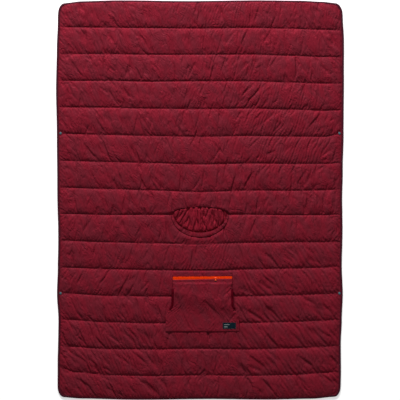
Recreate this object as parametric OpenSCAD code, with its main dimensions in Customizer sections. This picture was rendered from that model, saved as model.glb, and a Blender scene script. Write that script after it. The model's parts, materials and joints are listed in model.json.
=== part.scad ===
// Quilted camp blanket with a neck opening, tucked hood, zipped hand pocket and side snaps.
// Lies face up on z = 0. +X is across the blanket, +Y runs from the front hem to the back hem.
// The origin is under the middle of the blanket.

/* [Blanket] */
// Width across the blanket, binding included
blanket_w = 1430; // [1300:10:1500]
// Length of one quilted channel, seam to seam
pitch = 133.333; // [130:0.001:137]
// Channels behind the shoulder fold
back_channels = 8; // [7:1:9]
// Channels in front of the shoulder fold
front_channels = 7; // [6:1:8]
// Radius of the four corners
corner_r = 62; // [40:1:80]
// Height of a channel's crown above the ground
crown_z = 18; // [16:0.5:20]
// Height of the quilting seams, where both fabrics meet
seam_z = 5.5; // [5.5:0.1:6.5]
// Thickness of the face fabric and of the lining
skin = 0.8; // [0.6:0.1:0.9]
// Width of the binding on each face
binding_w = 11; // [9:0.5:12]

/* [Neck and hood] */
// Width of the neck opening
neck_w = 290; // [260:5:300]
// How far the opening reaches behind the shoulder fold
neck_back = 38; // [30:1:45]
// How far the opening reaches in front of the shoulder fold
neck_front = 116; // [100:1:118]
// Width of the padded collar along the front of the opening
collar_w = 22; // [16:1:26]
// Half the width of the tucked hood
hood_half_w = 158; // [150:1:180]
// Length of the tucked hood in front of the fold
hood_len = 292; // [270:1:310]
// Straight part of the hood's sides, before its crown rounds off
hood_side_len = 120; // [100:5:140]

/* [Pocket] */
// Distance of the pocket's middle from the blanket's middle
pocket_x = 12; // [0:1:20]
// Width of the pocket at its top
pocket_top_w = 294; // [290:1:300]
// Width of the pocket at its bottom
pocket_bottom_w = 368; // [350:1:380]
// Top of the pocket, in front of the shoulder fold
pocket_top = 286; // [280:1:290]
// Bottom of the pocket, in front of the shoulder fold
pocket_bottom = 590; // [585:1:600]
// Where the pocket's sides start to flare, in front of the shoulder fold
flare_top = 478; // [470:1:490]
// Where the flare reaches the full width
flare_low = 536; // [530:1:545]
// Height of the flat bed under the pocket
bed_z = 15; // [14:0.5:15.5]
// Height of the pocket panel's underside
panel_z = 25; // [24:0.5:27]
// Width of the woven label
label_w = 66; // [50:1:70]
// Height of the woven label
label_h = 31; // [24:1:33]

/* [Zip] */
// Middle of the zip, in front of the shoulder fold
zip_line = 321.5; // [320:0.5:323]
// Length of the zip's tapes
zip_len = 296; // [280:1:298]
// Where the slider stands, from the blanket's middle
slider_x = 78; // [-60:1:120]
// Pitch of the coil's teeth
tooth_pitch = 2; // [2:0.5:4]
// Length of the pull
pull_len = 19; // [14:1:19]

/* [Snaps] */
// Distance of the snaps from the side edges
snap_inset = 17.5; // [17.5:0.5:22]
// Quilted channels between the shoulder fold and the snaps
snap_channels = 3; // [2:1:5]
// Radius of the snap caps
cap_r = 6.2; // [5:0.1:6.2]
// Radius of the stud's head
stud_r = 3.1; // [2.5:0.1:3.5]
// Radial clearance between a stud's head and its socket
snap_clear = 0.1; // [0.1:0.05:0.3]

/* [Hidden] */
$fn = 48;

blanket_l = pitch * (back_channels + front_channels);
half_w = blanket_w / 2;
half_l = blanket_l / 2;
fold_y = half_l - back_channels * pitch;
fold_gap = 0.8;         // slit between the two halves' solids at the fold
strip = 1.5;            // half width of a flat seam strip
binding_flange = 1.6;
binding_web = 2;
thread = 0.6;
tall = 200;             // height of the cutting prisms
top_z = seam_z + skin;  // face of the flat seams and edges
under_z = seam_z - skin;
fit = 0.3;              // clearance between loose pieces
taper = 48;             // width over which the loft dies away at the side edges
dome_steps = 9;         // facets on each half of a channel's dome
flat_share = 0.6;       // share of a channel's half width that lies flat on the ground

hood_top_z = seam_z - skin - 0.5;
hood_mound_z = 9;       // height of the hood where it stands in the neck opening
hood_bottom_z = fit;
hood_margin = 3;        // room between the hood and the lining around it
hood_seam_w = 10;
hood_hem_w = 12;
neck_fill_gap = 4;      // insulation stops this far from the neck opening
batt_cut_x = 100;       // where the batt behind the neck opening is cut
collar_top_z = 13;

cloth = 0.9;            // thickness of a single layer of pocket cloth
backing_z = bed_z + 0.1;
tape_z = 18.4;
tape_t = 0.6;
tape_w = 14;
zip_slit = 1.4;         // gap between the two tapes
coil_w = 2.5;
coil_h = 2;
zip_y = fold_y - zip_line;
zip_x0 = pocket_x - zip_len / 2;
zip_x1 = pocket_x + zip_len / 2;
stop_len = 2;
stop_end = 1.6;         // distance of a stop from the end of the tapes
pocket_top_y = fold_y - pocket_top;
pocket_bottom_y = fold_y - pocket_bottom;
zip_half_open = 10.8;   // half the width of tape that shows
welt_w = 11;            // folded band below the zip
ramp = 30;              // length over which the panel rises from the welt
foot = 12;              // length over which the panel comes down to its bottom seam
bed_margin = 2;         // the bed is wider than the pocket by this on each side
panel_top_y = zip_y - zip_half_open;
welt_y = panel_top_y - welt_w;
flare_top_y = fold_y - flare_top;
flare_low_y = fold_y - flare_low;
hand_top_y = welt_y - ramp - 4;
hand_binding_w = 5;     // half width of the binding of a hand opening
tack_l = 10;
tack_w = 2;
side_thread_inset = 3;
label_side = 17;        // from the pocket's side to the label
label_foot = 14;        // from the pocket's bottom to the label
label_t = 0.9;
label_z = panel_z + cloth + 0.1;

slider_l = 12;
slider_w = 9;
plate_t = 1;
slider_bottom_z = tape_z - 1.2;
slider_top_z = tape_z + tape_t + coil_h + fit;
crown_bar_r = 0.7;
crown_bar_z = slider_top_z + plate_t + 2.7;
crown_half = 3.6;
rail_w = 0.9;
wedge_half = zip_slit / 2 - fit;
pull_droop = 12;        // degrees that the resting pull points below level
pull_t = 1.5;
pull_half = 4;          // half the pull's width
pull_neck = 9;          // length of the narrow part below the eye
eye_r = 2.1;
eye_half = 2.2;
eye_clear = 0.25;

snap_x = half_w - snap_inset;
snap_back_y = fold_y + snap_channels * pitch;
snap_front_y = fold_y - snap_channels * pitch;
snap_pad_r = 10;
post_r = 1.7;
post_clear = 0.1;
snap_low_z = 1.6;       // lowest point of sockets and studs
snap_edge = 0.4;        // rounding of the socket's and the stud's lower edges
flange_w = 1.9;         // a socket or stud's flange is wider than its bore or head by this
flange_t = 0.8;
cap_h = 2.2;
snap_base_z = under_z - flange_t;

channels = back_channels + front_channels;
BACK = [for (i = [1:back_channels]) i];
FRONT = [for (i = [back_channels + 1:channels]) i];

// ---- profiles ----

// Edges of channel i, counted from the back hem; the hem channels stop at the binding.
function channel_back_y(i) = half_l - (i - 1) * pitch - (i == 1 ? binding_w + fit : 0);
function channel_front_y(i) = half_l - i * pitch + (i == channels ? binding_w + fit : 0);

// Share of the full loft at u, from -1 at one seam to 1 at the next.
function loft(u) = pow(1 - pow(abs(u), 2.2), 0.7);
// Share of the seam's height that the underside has risen to at u.
function lift(u) = pow(max(0, (abs(u) - flat_share) / (1 - flat_share)), 1.6);
function top_at(u, inset) = top_z + (crown_z - top_z) * loft(u) - inset;
function under_at(u, inset) = under_z * lift(u) + inset;
// Places from -1 to 1, closer together towards the seams.
DOME = [for (j = [-dome_steps:dome_steps]) sin(90 * j / dome_steps)];

// Section of one channel across its seams; the inset takes the skin off for the fill.
function channel_section(i, inset) =
    let (
        a = channel_front_y(i) + strip,
        b = channel_back_y(i) - strip,
        mid = (a + b) / 2,
        half = (b - a) / 2
    )
    concat(
        [for (u = DOME) [mid + half * u, top_at(u, inset)]],
        [for (j = [len(DOME) - 1:-1:0]) if (inset == 0 || abs(DOME[j]) < 0.999)
            [mid + half * DOME[j], under_at(DOME[j], inset)]]
    );

// Section along the seams: full loft in the middle, dying away at both side edges.
function side_section(inset) =
    let (
        x_out = half_w - binding_w - fit,
        x_in = x_out - taper,
        right = [for (j = [0:dome_steps]) sin(90 * j / dome_steps)]
    )
    concat(
        [for (u = right) [x_in + taper * u, top_at(u, inset)]],
        [for (j = [dome_steps:-1:0]) if (inset == 0 || right[j] < 0.999)
            [x_in + taper * right[j], under_at(right[j], inset)]],
        [for (u = right) [-x_in - taper * u, under_at(u, inset)]],
        [for (j = [dome_steps:-1:0]) if (inset == 0 || right[j] < 0.999)
            [-x_in - taper * right[j], top_at(right[j], inset)]]
    );

module along_x(points, length) {
    rotate([90, 0, 90]) linear_extrude(height = length, center = true) polygon(points);
}

module along_y(points, length) {
    rotate([90, 0, 0]) linear_extrude(height = length, center = true) polygon(points);
}

module along_x_from(x0, x1, points) {
    translate([(x0 + x1) / 2, 0, 0]) along_x(points, x1 - x0);
}

module slab(x0, x1, y0, y1, z0, z1) {
    translate([x0, y0, z0]) cube([x1 - x0, y1 - y0, z1 - z0]);
}

// Rounded blanket outline, taken in from the edge by inset.
module outline(inset) {
    w = blanket_w - 2 * inset;
    l = blanket_l - 2 * inset;
    r = corner_r - inset;
    square([w - 2 * r, l], center = true);
    square([w, l - 2 * r], center = true);
    for (sx = [-1, 1], sy = [-1, 1])
        translate([sx * (w / 2 - r), sy * (l / 2 - r)]) circle(r);
}

module outline_prism(inset, z0, z1) {
    translate([0, 0, z0]) linear_extrude(height = z1 - z0) outline(inset);
}

function channels_of(side) = side > 0 ? BACK : FRONT;

// One side of the fold: side 1 is the back half, side -1 the front half.
module half_space(side) {
    y0 = side > 0 ? fold_y + fold_gap / 2 : -half_l - 1;
    y1 = side > 0 ? half_l + 1 : fold_y - fold_gap / 2;
    slab(-half_w - 1, half_w + 1, y0, y1, -1, tall);
}

// Oval neck opening, shallow behind the fold and deep in front of it.
function neck_points(grow) =
    [for (a = [0:7.5:352.5]) [
        (neck_w / 2 + grow) * cos(a),
        fold_y + ((a < 180 ? neck_back : neck_front) + grow) * sin(a)
    ]];

module neck_prism(grow, z0 = -1, z1 = tall) {
    translate([0, 0, z0]) linear_extrude(height = z1 - z0) polygon(neck_points(grow));
}

// Flat outline of the tucked hood, a rounded tongue in front of the fold.
function hood_points(grow) =
    let (y0 = fold_y - fold_gap / 2 + (grow > 0 ? 1 : 0))
    concat(
        [[hood_half_w + grow, y0]],
        [for (a = [0:6:180]) [
            (hood_half_w + grow) * sign(cos(a)) * pow(abs(cos(a)), 0.7),
            fold_y - hood_side_len - (hood_len - hood_side_len + grow) * pow(sin(a), 0.8)
        ]],
        [[-hood_half_w - grow, y0]]
    );

module hood_prism(grow, z0, z1) {
    translate([0, 0, z0]) linear_extrude(height = z1 - z0) polygon(hood_points(grow));
}

// Outline of the hand pocket with its flared foot.
function pocket_points(grow) =
    let (
        t = pocket_top_w / 2 + grow,
        b = pocket_bottom_w / 2 + grow
    )
    [
        [pocket_x - t, pocket_top_y + grow], [pocket_x - t, flare_top_y],
        [pocket_x - b, flare_low_y], [pocket_x - b, pocket_bottom_y - grow],
        [pocket_x + b, pocket_bottom_y - grow], [pocket_x + b, flare_low_y],
        [pocket_x + t, flare_top_y], [pocket_x + t, pocket_top_y + grow]
    ];

module pocket_prism(grow, z0, z1) {
    translate([0, 0, z0]) linear_extrude(height = z1 - z0) polygon(pocket_points(grow));
}

module at_snaps(side) {
    y = side > 0 ? snap_back_y : snap_front_y;
    for (sx = [-1, 1]) translate([sx * snap_x, y, 0]) children();
}

// ---- quilt ----

// Space between the two fabrics in one channel.
module fill_space(i) {
    side = i <= back_channels ? 1 : -1;
    difference() {
        intersection() {
            along_x(channel_section(i, skin), blanket_w);
            along_y(side_section(skin), blanket_l + 2);
            outline_prism(binding_w + fit + skin, -1, tall);
        }
        neck_prism(neck_fill_gap);
        hood_prism(hood_margin + skin, -1, hood_top_z + fit + skin);
        pocket_prism(bed_margin + skin, bed_z - skin, tall);
        at_snaps(side) translate([0, 0, -1]) cylinder(r = snap_pad_r + skin, h = tall);
    }
}

// Insulation of one channel; the batt beside the fold is cut in three round the neck opening.
module fill_channel(i) {
    color("ivory") difference() {
        fill_space(i);
        if (i == back_channels)
            for (x = [-batt_cut_x, batt_cut_x])
                slab(x - fit / 2, x + fit / 2, channel_front_y(i), channel_back_y(i), -1, tall);
    }
}

// Outer form of one half of the quilt, fabric and fill together.
module quilt_half(side) {
    difference() {
        union() {
            intersection() {
                union() for (i = channels_of(side)) along_x(channel_section(i, 0), blanket_w);
                along_y(side_section(0), blanket_l + 2);
                outline_prism(binding_w + fit, -1, tall);
                half_space(side);
            }
            intersection() {
                outline_prism(binding_web, under_z, top_z);
                half_space(side);
            }
        }
        neck_prism(0);
        pocket_prism(bed_margin, bed_z, tall);
        at_snaps(side) {
            translate([0, 0, top_z]) cylinder(r = snap_pad_r, h = tall);
            translate([0, 0, under_z - tall]) cylinder(r = snap_pad_r, h = tall);
            translate([0, 0, -1]) cylinder(r = post_r + post_clear, h = tall);
        }
    }
}

module face_fabric(side) {
    color("firebrick") difference() {
        quilt_half(side);
        slab(-half_w - 1, half_w + 1, -half_l - 1, half_l + 1, -1, seam_z);
        for (i = channels_of(side)) fill_space(i);
    }
}

module lining(side) {
    color("maroon") difference() {
        quilt_half(side);
        slab(-half_w - 1, half_w + 1, -half_l - 1, half_l + 1, seam_z, tall);
        for (i = channels_of(side)) fill_space(i);
        hood_prism(hood_margin, -1, hood_top_z + fit);
    }
}

// Tape folded round the edge, with a flange on each face.
module binding(side) {
    color("#3a1620") difference() {
        intersection() {
            outline_prism(0, under_z - binding_flange, top_z + binding_flange);
            half_space(side);
        }
        outline_prism(binding_w, -1, tall);
        outline_prism(binding_web, under_z, top_z);
    }
}

// Row of stitching that holds the binding.
module binding_thread(side) {
    z = top_z + binding_flange;
    inset = binding_w - 2;
    color("#6a2430") intersection() {
        difference() {
            outline_prism(inset - thread, z, z + thread);
            outline_prism(inset, -1, tall);
        }
        half_space(side);
    }
}

// Needle thread on the face and bobbin thread on the lining, one pair for each seam.
module quilt_threads(side) {
    seams = side > 0 ? [1:back_channels] : [back_channels + 1:channels - 1];
    x_end = snap_x - snap_pad_r;
    color("#4a1820") difference() {
        for (k = seams) {
            y = half_l - k * pitch + (k == back_channels ? strip / 2 + thread / 2 : 0);
            slab(-x_end, x_end, y - thread / 2, y + thread / 2, top_z, top_z + thread);
            slab(-x_end, x_end, y - thread / 2, y + thread / 2, under_z - thread, under_z);
        }
        neck_prism(2 * thread);
        hood_prism(hood_margin, -1, seam_z);
    }
}

// ---- neck and hood ----

module neck_collar() {
    color("firebrick") intersection() {
        difference() {
            neck_prism(-fit, seam_z, collar_top_z);
            neck_prism(-collar_w, -1);
        }
        half_space(-1);
    }
}

// Folded hood under the front half, with the mound that stands in the neck opening.
module hood_body() {
    hood_prism(-hood_hem_w, hood_bottom_z, hood_top_z);
    intersection() {
        neck_prism(-collar_w - 2, hood_top_z - 1, hood_mound_z);
        half_space(-1);
    }
}

module hood_half(side) {
    x0 = hood_seam_w / 2 + fit;
    color("firebrick") intersection() {
        hood_body();
        slab(side > 0 ? x0 : -half_w, side > 0 ? half_w : -x0, -half_l, half_l, -1, tall);
    }
}

module hood_center_seam() {
    color("darkred") intersection() {
        hood_body();
        slab(-hood_seam_w / 2, hood_seam_w / 2, -half_l, half_l, -1, tall);
    }
}

module hood_hem() {
    color("#3a1620") difference() {
        hood_prism(0, hood_bottom_z, hood_top_z);
        hood_prism(-hood_hem_w + fit, -1, tall);
        slab(-half_w, half_w, fold_y - hood_side_len - 4, fold_y + 1, -1, tall);
    }
}

module hood_neck_base() {
    color("firebrick") intersection() {
        neck_prism(-2, hood_bottom_z, hood_mound_z);
        half_space(1);
    }
}

// ---- pocket ----

module pocket_backing() {
    color("#5a1520") pocket_prism(0, backing_z, backing_z + tape_t);
}

// Strip of face cloth between the top seam of the pocket and the zip.
module pocket_top_strip() {
    low = backing_z + tape_t;
    high = tape_z + tape_t;
    color("firebrick")
        along_x_from(zip_x0, zip_x1, [
            [pocket_top_y, low], [pocket_top_y, high],
            [pocket_top_y - foot / 2, high + cloth], [zip_y + zip_half_open, high + cloth],
            [zip_y + zip_half_open, high], [zip_y + tape_w + fit, high],
            [zip_y + tape_w + fit, low]
        ]);
}

// Section of the pocket panel from the zip down to the bottom seam.
function panel_section() =
    let (
        welt_z = tape_z + tape_t,
        foot_z = backing_z + tape_t,
        risen_y = welt_y - ramp
    )
    [
        [panel_top_y, welt_z], [welt_y, welt_z], [risen_y, panel_z],
        [pocket_bottom_y + foot, panel_z], [pocket_bottom_y + 1, foot_z],
        [pocket_bottom_y, foot_z], [pocket_bottom_y, foot_z + cloth],
        [pocket_bottom_y + foot - 0.5, panel_z + cloth], [risen_y, panel_z + cloth],
        [welt_y, welt_z + cloth], [panel_top_y, welt_z + cloth]
    ];

// Panel over the pocket, stitched down along the flared lower part of its sides.
module pocket_panel() {
    foot_z = backing_z + tape_t;
    half = pocket_bottom_w / 2;
    color("firebrick") {
        intersection() {
            along_x_from(pocket_x - half, pocket_x + half, panel_section());
            pocket_prism(0, -1, tall);
        }
        intersection() {
            difference() {
                pocket_prism(0, foot_z, panel_z);
                pocket_prism(-cloth, -1, tall);
            }
            slab(-half_w, half_w, pocket_bottom_y + foot - 1, flare_low_y, foot_z, panel_z);
        }
    }
}

// Binding folded round the free edge of a hand opening.
module hand_binding(side) {
    edge = pocket_x + side * pocket_top_w / 2;
    inner = edge - side * (hand_binding_w + 1);
    outer = edge + side * cloth / 4;
    color("#3a1620") difference() {
        slab(edge - hand_binding_w, edge + hand_binding_w, flare_top_y + tack_w + fit, hand_top_y,
            panel_z - cloth, panel_z + 2 * cloth);
        slab(min(inner, outer), max(inner, outer), flare_top_y, hand_top_y + 1,
            panel_z - 0.05, panel_z + cloth + 0.05);
    }
}

// Dense stitching at both ends of each hand opening.
module pocket_bartacks() {
    z = panel_z + cloth;
    color("#4a1820") for (side = [-1, 1], y = [flare_top_y, hand_top_y + tack_w]) {
        x = pocket_x + side * (pocket_top_w / 2 - tack_l);
        slab(x - tack_l / 2, x + tack_l / 2, y - tack_w / 2, y + tack_w / 2, z, z + thread);
    }
}

module pocket_threads() {
    welt_z = tape_z + tape_t + cloth;
    panel_top_z = panel_z + cloth;
    color("#4a1820") {
        for (y = [welt_y + 1, zip_y + zip_half_open + 2])
            slab(zip_x0 + 2, zip_x1 - 2, y, y + thread, welt_z, welt_z + thread);
        for (side = [-1, 1]) {
            x = pocket_x + side * (pocket_bottom_w / 2 - side_thread_inset);
            slab(x - thread / 2, x + thread / 2, pocket_bottom_y + foot + 2, flare_low_y - 3,
                panel_top_z, panel_top_z + thread);
        }
    }
}

// Woven label with a raised edge at each end.
module pocket_label() {
    x1 = pocket_x + pocket_bottom_w / 2 - label_side;
    x0 = x1 - label_w;
    y0 = pocket_bottom_y + label_foot;
    top = label_z + label_t;
    color("#101820") {
        slab(x0, x1, y0, y0 + label_h, label_z, top);
        for (x = [x0 + 1, x1 - 1 - thread])
            slab(x, x + thread, y0 + 1, y0 + label_h - 1, top, top + fit);
    }
}

// ---- zip ----

// Side 1 is the tape nearer the neck, side -1 the one on the pocket panel.
module zip_tape(side) {
    y0 = side > 0 ? zip_y + zip_slit / 2 : zip_y - tape_w;
    color("orangered")
        slab(zip_x0, zip_x1, y0, y0 + tape_w - zip_slit / 2, tape_z, tape_z + tape_t);
}

// Coil as one comb: a spine with a tooth for each turn.
function comb_points(x0, x1) =
    let (
        turns = floor((x1 - x0) / tooth_pitch),
        gap = 0.35,      // share of the pitch between two teeth
        spine = 0.9
    )
    concat(
        [[x0, coil_w]],
        [for (k = [0:turns - 1], c = [[0, spine], [gap, spine], [gap, 0], [1, 0]])
            [x0 + (k + c[0]) * tooth_pitch, c[1]]],
        [[x0 + turns * tooth_pitch, coil_w]]
    );

module zip_coil(side) {
    margin = stop_end + stop_len + fit;
    color("orange")
        translate([0, zip_y + side * zip_slit / 2, tape_z + tape_t])
            mirror([0, side > 0 ? 0 : 1, 0])
                linear_extrude(height = coil_h)
                    polygon(comb_points(zip_x0 + margin, zip_x1 - margin));
}

module zip_end_stops() {
    z0 = tape_z + tape_t;
    color("orange") for (x = [zip_x0 + stop_end, zip_x1 - stop_end - stop_len], side = [-1, 1]) {
        y = zip_y + side * (zip_slit / 2 + coil_w / 2);
        slab(x, x + stop_len, y - coil_w / 2, y + coil_w / 2, z0, z0 + coil_h);
    }
}

// Slider with a plate above and below the tapes, side rails, wedge and crown.
module zip_slider() {
    top_plate_z = slider_top_z + plate_t;
    rail_z = tape_z + tape_t + fit;
    half_l = slider_l / 2;
    bar_half = crown_half + crown_bar_r;
    translate([slider_x, zip_y, 0]) color("#b8481c") {
        for (z = [slider_bottom_z, slider_top_z])
            translate([0, 0, z]) linear_extrude(height = plate_t) slider_outline();
        for (y = [-slider_w / 2, slider_w / 2 - rail_w])
            slab(-half_l + 1, half_l - 3, y, y + rail_w, rail_z, slider_top_z);
        slab(2, half_l - 0.5, -wedge_half, wedge_half, slider_bottom_z + plate_t, slider_top_z);
        for (x = [-crown_half, crown_half])
            translate([x, 0, top_plate_z])
                cylinder(r = crown_bar_r, h = crown_bar_z - top_plate_z, $fn = 24);
        translate([-bar_half, 0, crown_bar_z]) rotate([0, 90, 0])
            cylinder(r = crown_bar_r, h = 2 * bar_half, $fn = 24);
    }
}

// Square at the closed end, narrowing towards the open end.
module slider_outline() {
    w = slider_w / 2;
    l = slider_l / 2;
    c = 1.2;             // corner cut
    polygon([
        [-l, -w + c], [-l + c, -w], [l - 4, -w], [l, -w + 2],
        [l, w - 2], [l - 4, w], [-l + c, w], [-l, w - c]
    ]);
}

// Pull that hangs from the crown's bar by an eye and lies towards the front hem.
module zip_pull() {
    translate([slider_x, zip_y, crown_bar_z]) rotate([pull_droop, 0, 0]) color("darkorange")
        difference() {
            union() {
                translate([-eye_half, 0, 0]) rotate([0, 90, 0])
                    cylinder(r = eye_r, h = 2 * eye_half, $fn = 32);
                slab(-eye_half, eye_half, -pull_neck, 0, -pull_t / 2, pull_t / 2);
                translate([0, 0, -pull_t / 2]) linear_extrude(height = pull_t) {
                    translate([-pull_half, -pull_len + pull_half])
                        square([2 * pull_half, pull_len - pull_half - pull_neck + 1]);
                    translate([0, -pull_len + pull_half]) circle(pull_half);
                }
            }
            translate([-eye_half - 1, 0, 0]) rotate([0, 90, 0])
                cylinder(r = crown_bar_r + eye_clear, h = 2 * eye_half + 2, $fn = 32);
        }
}

// ---- snaps ----

// Cap on the face, with the post that goes through both fabrics.
module snap_cap(sx, y) {
    cap_z = top_z + cap_h;
    translate([sx * snap_x, y, 0]) color("#5e8c96") rotate_extrude()
        polygon([
            [0, snap_base_z], [post_r, snap_base_z], [post_r, top_z], [cap_r, top_z],
            [cap_r, cap_z - 1.4], [cap_r - 0.9, cap_z - 0.5], [cap_r - 2.6, cap_z], [0, cap_z]
        ]);
}

// Socket under the back half: a ring open downwards, with a hole for the post.
module snap_socket(sx) {
    bore = stud_r + snap_clear;
    outer = bore + flange_w;
    translate([sx * snap_x, snap_back_y, 0]) color("#5e8c96") rotate_extrude()
        polygon([
            [post_r + post_clear, snap_base_z], [post_r + post_clear, under_z],
            [outer, under_z], [outer, snap_low_z + snap_edge], [outer - snap_edge, snap_low_z],
            [bore, snap_low_z], [bore, snap_base_z]
        ]);
}

// Stud under the front half: a flange with a round head that faces down.
module snap_stud(sx) {
    head_top = snap_base_z - 0.2;
    translate([sx * snap_x, snap_front_y, 0]) color("#5e8c96") rotate_extrude()
        polygon([
            [post_r + post_clear, snap_base_z], [post_r + post_clear, under_z],
            [stud_r + flange_w, under_z], [stud_r + flange_w, snap_base_z],
            [stud_r, snap_base_z], [stud_r, snap_low_z + snap_edge],
            [stud_r - snap_edge, snap_low_z], [0, snap_low_z], [0, head_top], [post_r, head_top]
        ]);
}

face_fabric(1);  // back_face_fabric
lining(1);  // back_lining
fill_channel(1);  // fill_channel_01
fill_channel(2);  // fill_channel_02
fill_channel(3);  // fill_channel_03
fill_channel(4);  // fill_channel_04
fill_channel(5);  // fill_channel_05
fill_channel(6);  // fill_channel_06
fill_channel(7);  // fill_channel_07
fill_channel(8);  // fill_channel_08
binding(1);  // back_binding
binding_thread(1);  // back_binding_thread
quilt_threads(1);  // back_quilt_threads
hood_neck_base();
snap_cap(-1, snap_back_y);  // snap_cap_back_left
snap_cap(1, snap_back_y);  // snap_cap_back_right
snap_socket(-1);  // snap_socket_left
snap_socket(1);  // snap_socket_right
face_fabric(-1);  // front_face_fabric
lining(-1);  // front_lining
fill_channel(9);  // fill_channel_09
fill_channel(10);  // fill_channel_10
fill_channel(11);  // fill_channel_11
fill_channel(12);  // fill_channel_12
fill_channel(13);  // fill_channel_13
fill_channel(14);  // fill_channel_14
fill_channel(15);  // fill_channel_15
binding(-1);  // front_binding
binding_thread(-1);  // front_binding_thread
quilt_threads(-1);  // front_quilt_threads
neck_collar();
hood_half(-1);  // hood_left_panel
hood_half(1);  // hood_right_panel
hood_center_seam();
hood_hem();
pocket_backing();
pocket_top_strip();
pocket_panel();
hand_binding(-1);  // hand_binding_left
hand_binding(1);  // hand_binding_right
pocket_bartacks();
pocket_threads();
pocket_label();
zip_tape(1);  // zip_tape_upper
zip_tape(-1);  // zip_tape_lower
zip_coil(1);  // zip_coil_upper
zip_coil(-1);  // zip_coil_lower
zip_end_stops();
zip_slider();
zip_pull();
snap_cap(-1, snap_front_y);  // snap_cap_front_left
snap_cap(1, snap_front_y);  // snap_cap_front_right
snap_stud(-1);  // snap_stud_left
snap_stud(1);  // snap_stud_right
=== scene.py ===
import json
import math
import bpy
import numpy as np
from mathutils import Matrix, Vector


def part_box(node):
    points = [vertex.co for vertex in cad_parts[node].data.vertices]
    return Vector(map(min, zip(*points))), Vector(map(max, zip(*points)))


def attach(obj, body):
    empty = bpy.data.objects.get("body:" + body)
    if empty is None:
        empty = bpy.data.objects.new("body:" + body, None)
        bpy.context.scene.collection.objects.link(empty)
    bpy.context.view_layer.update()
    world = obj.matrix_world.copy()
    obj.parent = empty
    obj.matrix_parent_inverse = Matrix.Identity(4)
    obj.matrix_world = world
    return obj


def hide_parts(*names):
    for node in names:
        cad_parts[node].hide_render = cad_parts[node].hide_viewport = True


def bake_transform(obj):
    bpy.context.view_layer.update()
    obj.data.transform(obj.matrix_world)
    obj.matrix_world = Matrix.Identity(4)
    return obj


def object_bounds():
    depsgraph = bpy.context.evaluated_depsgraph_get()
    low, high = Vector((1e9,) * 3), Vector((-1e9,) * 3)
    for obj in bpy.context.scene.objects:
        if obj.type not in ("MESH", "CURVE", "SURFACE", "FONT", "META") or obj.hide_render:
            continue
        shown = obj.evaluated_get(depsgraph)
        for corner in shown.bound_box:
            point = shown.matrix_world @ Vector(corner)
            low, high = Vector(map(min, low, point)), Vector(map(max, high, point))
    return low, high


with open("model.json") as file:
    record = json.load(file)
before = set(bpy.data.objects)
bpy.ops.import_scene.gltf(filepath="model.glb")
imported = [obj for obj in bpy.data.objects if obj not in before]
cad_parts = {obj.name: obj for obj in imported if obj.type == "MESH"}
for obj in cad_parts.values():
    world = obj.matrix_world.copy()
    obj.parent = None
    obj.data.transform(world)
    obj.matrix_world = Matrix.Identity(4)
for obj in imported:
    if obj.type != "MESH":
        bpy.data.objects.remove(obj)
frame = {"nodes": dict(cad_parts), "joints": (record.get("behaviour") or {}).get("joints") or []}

# Quilted camp blanket, face up. All shape work below is in millimetres, and MM turns it into metres
# when a mesh is made. +Y is the back hem, and the shoulder fold crosses the blanket along X.

MM = 0.001
CAD_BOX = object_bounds()


def span(node):
    """x0, x1, y0, y1, z0, z1 of a CAD node, in millimetres."""
    low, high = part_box(node)
    return tuple(v / MM for v in (low.x, high.x, low.y, high.y, low.z, high.z))


JOINTS = {j["name"]: j for j in frame["joints"]}
HALF_W = CAD_BOX[1].x / MM
HALF_L = CAD_BOX[1].y / MM
CHANNELS = 15
PITCH = 2 * HALF_L / CHANNELS
FOLD_Y = JOINTS["shoulder_fold"]["pos_m"][1] / MM
FOLD_SEAM = round((HALF_L - FOLD_Y) / PITCH)
BINDING_W = 11.0
CORNER_R = 62.0
SEAM_TOP, SEAM_UNDER = 6.3, 4.7      # heights of the face and the lining where they are sewn together
CROWN = 15.0
NECK_W = span("neck_collar")[1] + 0.3
NECK_FRONT = FOLD_Y - span("neck_collar")[2] + 0.3
NECK_BACK = span("hood_neck_base")[3] - FOLD_Y + 2.0
NECK_Y = FOLD_Y - 6.0                # line of the oval's greatest width
SNAP_CAPS = [f"snap_cap_{half}_{side}" for half in ("back", "front") for side in ("left", "right")]
rng = np.random.default_rng(20)


# ---------------------------------------------------------------- small tools

def ease(t):
    return t * t * (3 - 2 * t)


def through(knots, at):
    """Smooth curve through a few (place, value) knots."""
    places, values = np.array(knots, float).T
    at = np.clip(at, places[0], places[-1])
    i = np.clip(np.searchsorted(places, at) - 1, 0, len(places) - 2)
    t = ease((at - places[i]) / (places[i + 1] - places[i]))
    return values[i] + (values[i + 1] - values[i]) * t


def ramp(value, low, high):
    """0 below low, 1 above high, smooth in between."""
    return ease(np.clip((value - low) / (high - low), 0, 1))


def patches(shape, cells):
    """Random field from -1 to 1, smooth, with about that many patches down and across."""
    rows, columns = shape
    coarse = rng.uniform(-1, 1, (cells[0] + 2, cells[1] + 2))
    y, x = np.linspace(0, cells[0], rows), np.linspace(0, cells[1], columns)
    iy, ix = y.astype(int), x.astype(int)
    fy, fx = ease(y - iy)[:, None], ease(x - ix)[None, :]
    low = coarse[iy][:, ix] * (1 - fx) + coarse[iy][:, ix + 1] * fx
    high = coarse[iy + 1][:, ix] * (1 - fx) + coarse[iy + 1][:, ix + 1] * fx
    return low * (1 - fy) + high * fy


def blurred(field, cells):
    """The field averaged over a square of that many cells to each side."""
    for axis in (0, 1):
        padding = [(cells + 1, cells) if a == axis else (0, 0) for a in (0, 1)]
        total = np.cumsum(np.pad(field, padding, mode="edge"), axis=axis)
        low, high = [slice(None)] * 2, [slice(None)] * 2
        low[axis], high[axis] = slice(0, field.shape[axis]), slice(2 * cells + 1, 2 * cells + 1 + field.shape[axis])
        field = (total[tuple(high)] - total[tuple(low)]) / (2 * cells + 1)
    return field


def relief(creases, cells, low, high):
    """Creases without the broad hollow that many of them make together."""
    return np.clip(creases - 0.85 * blurred(creases, cells), low, high)


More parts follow.
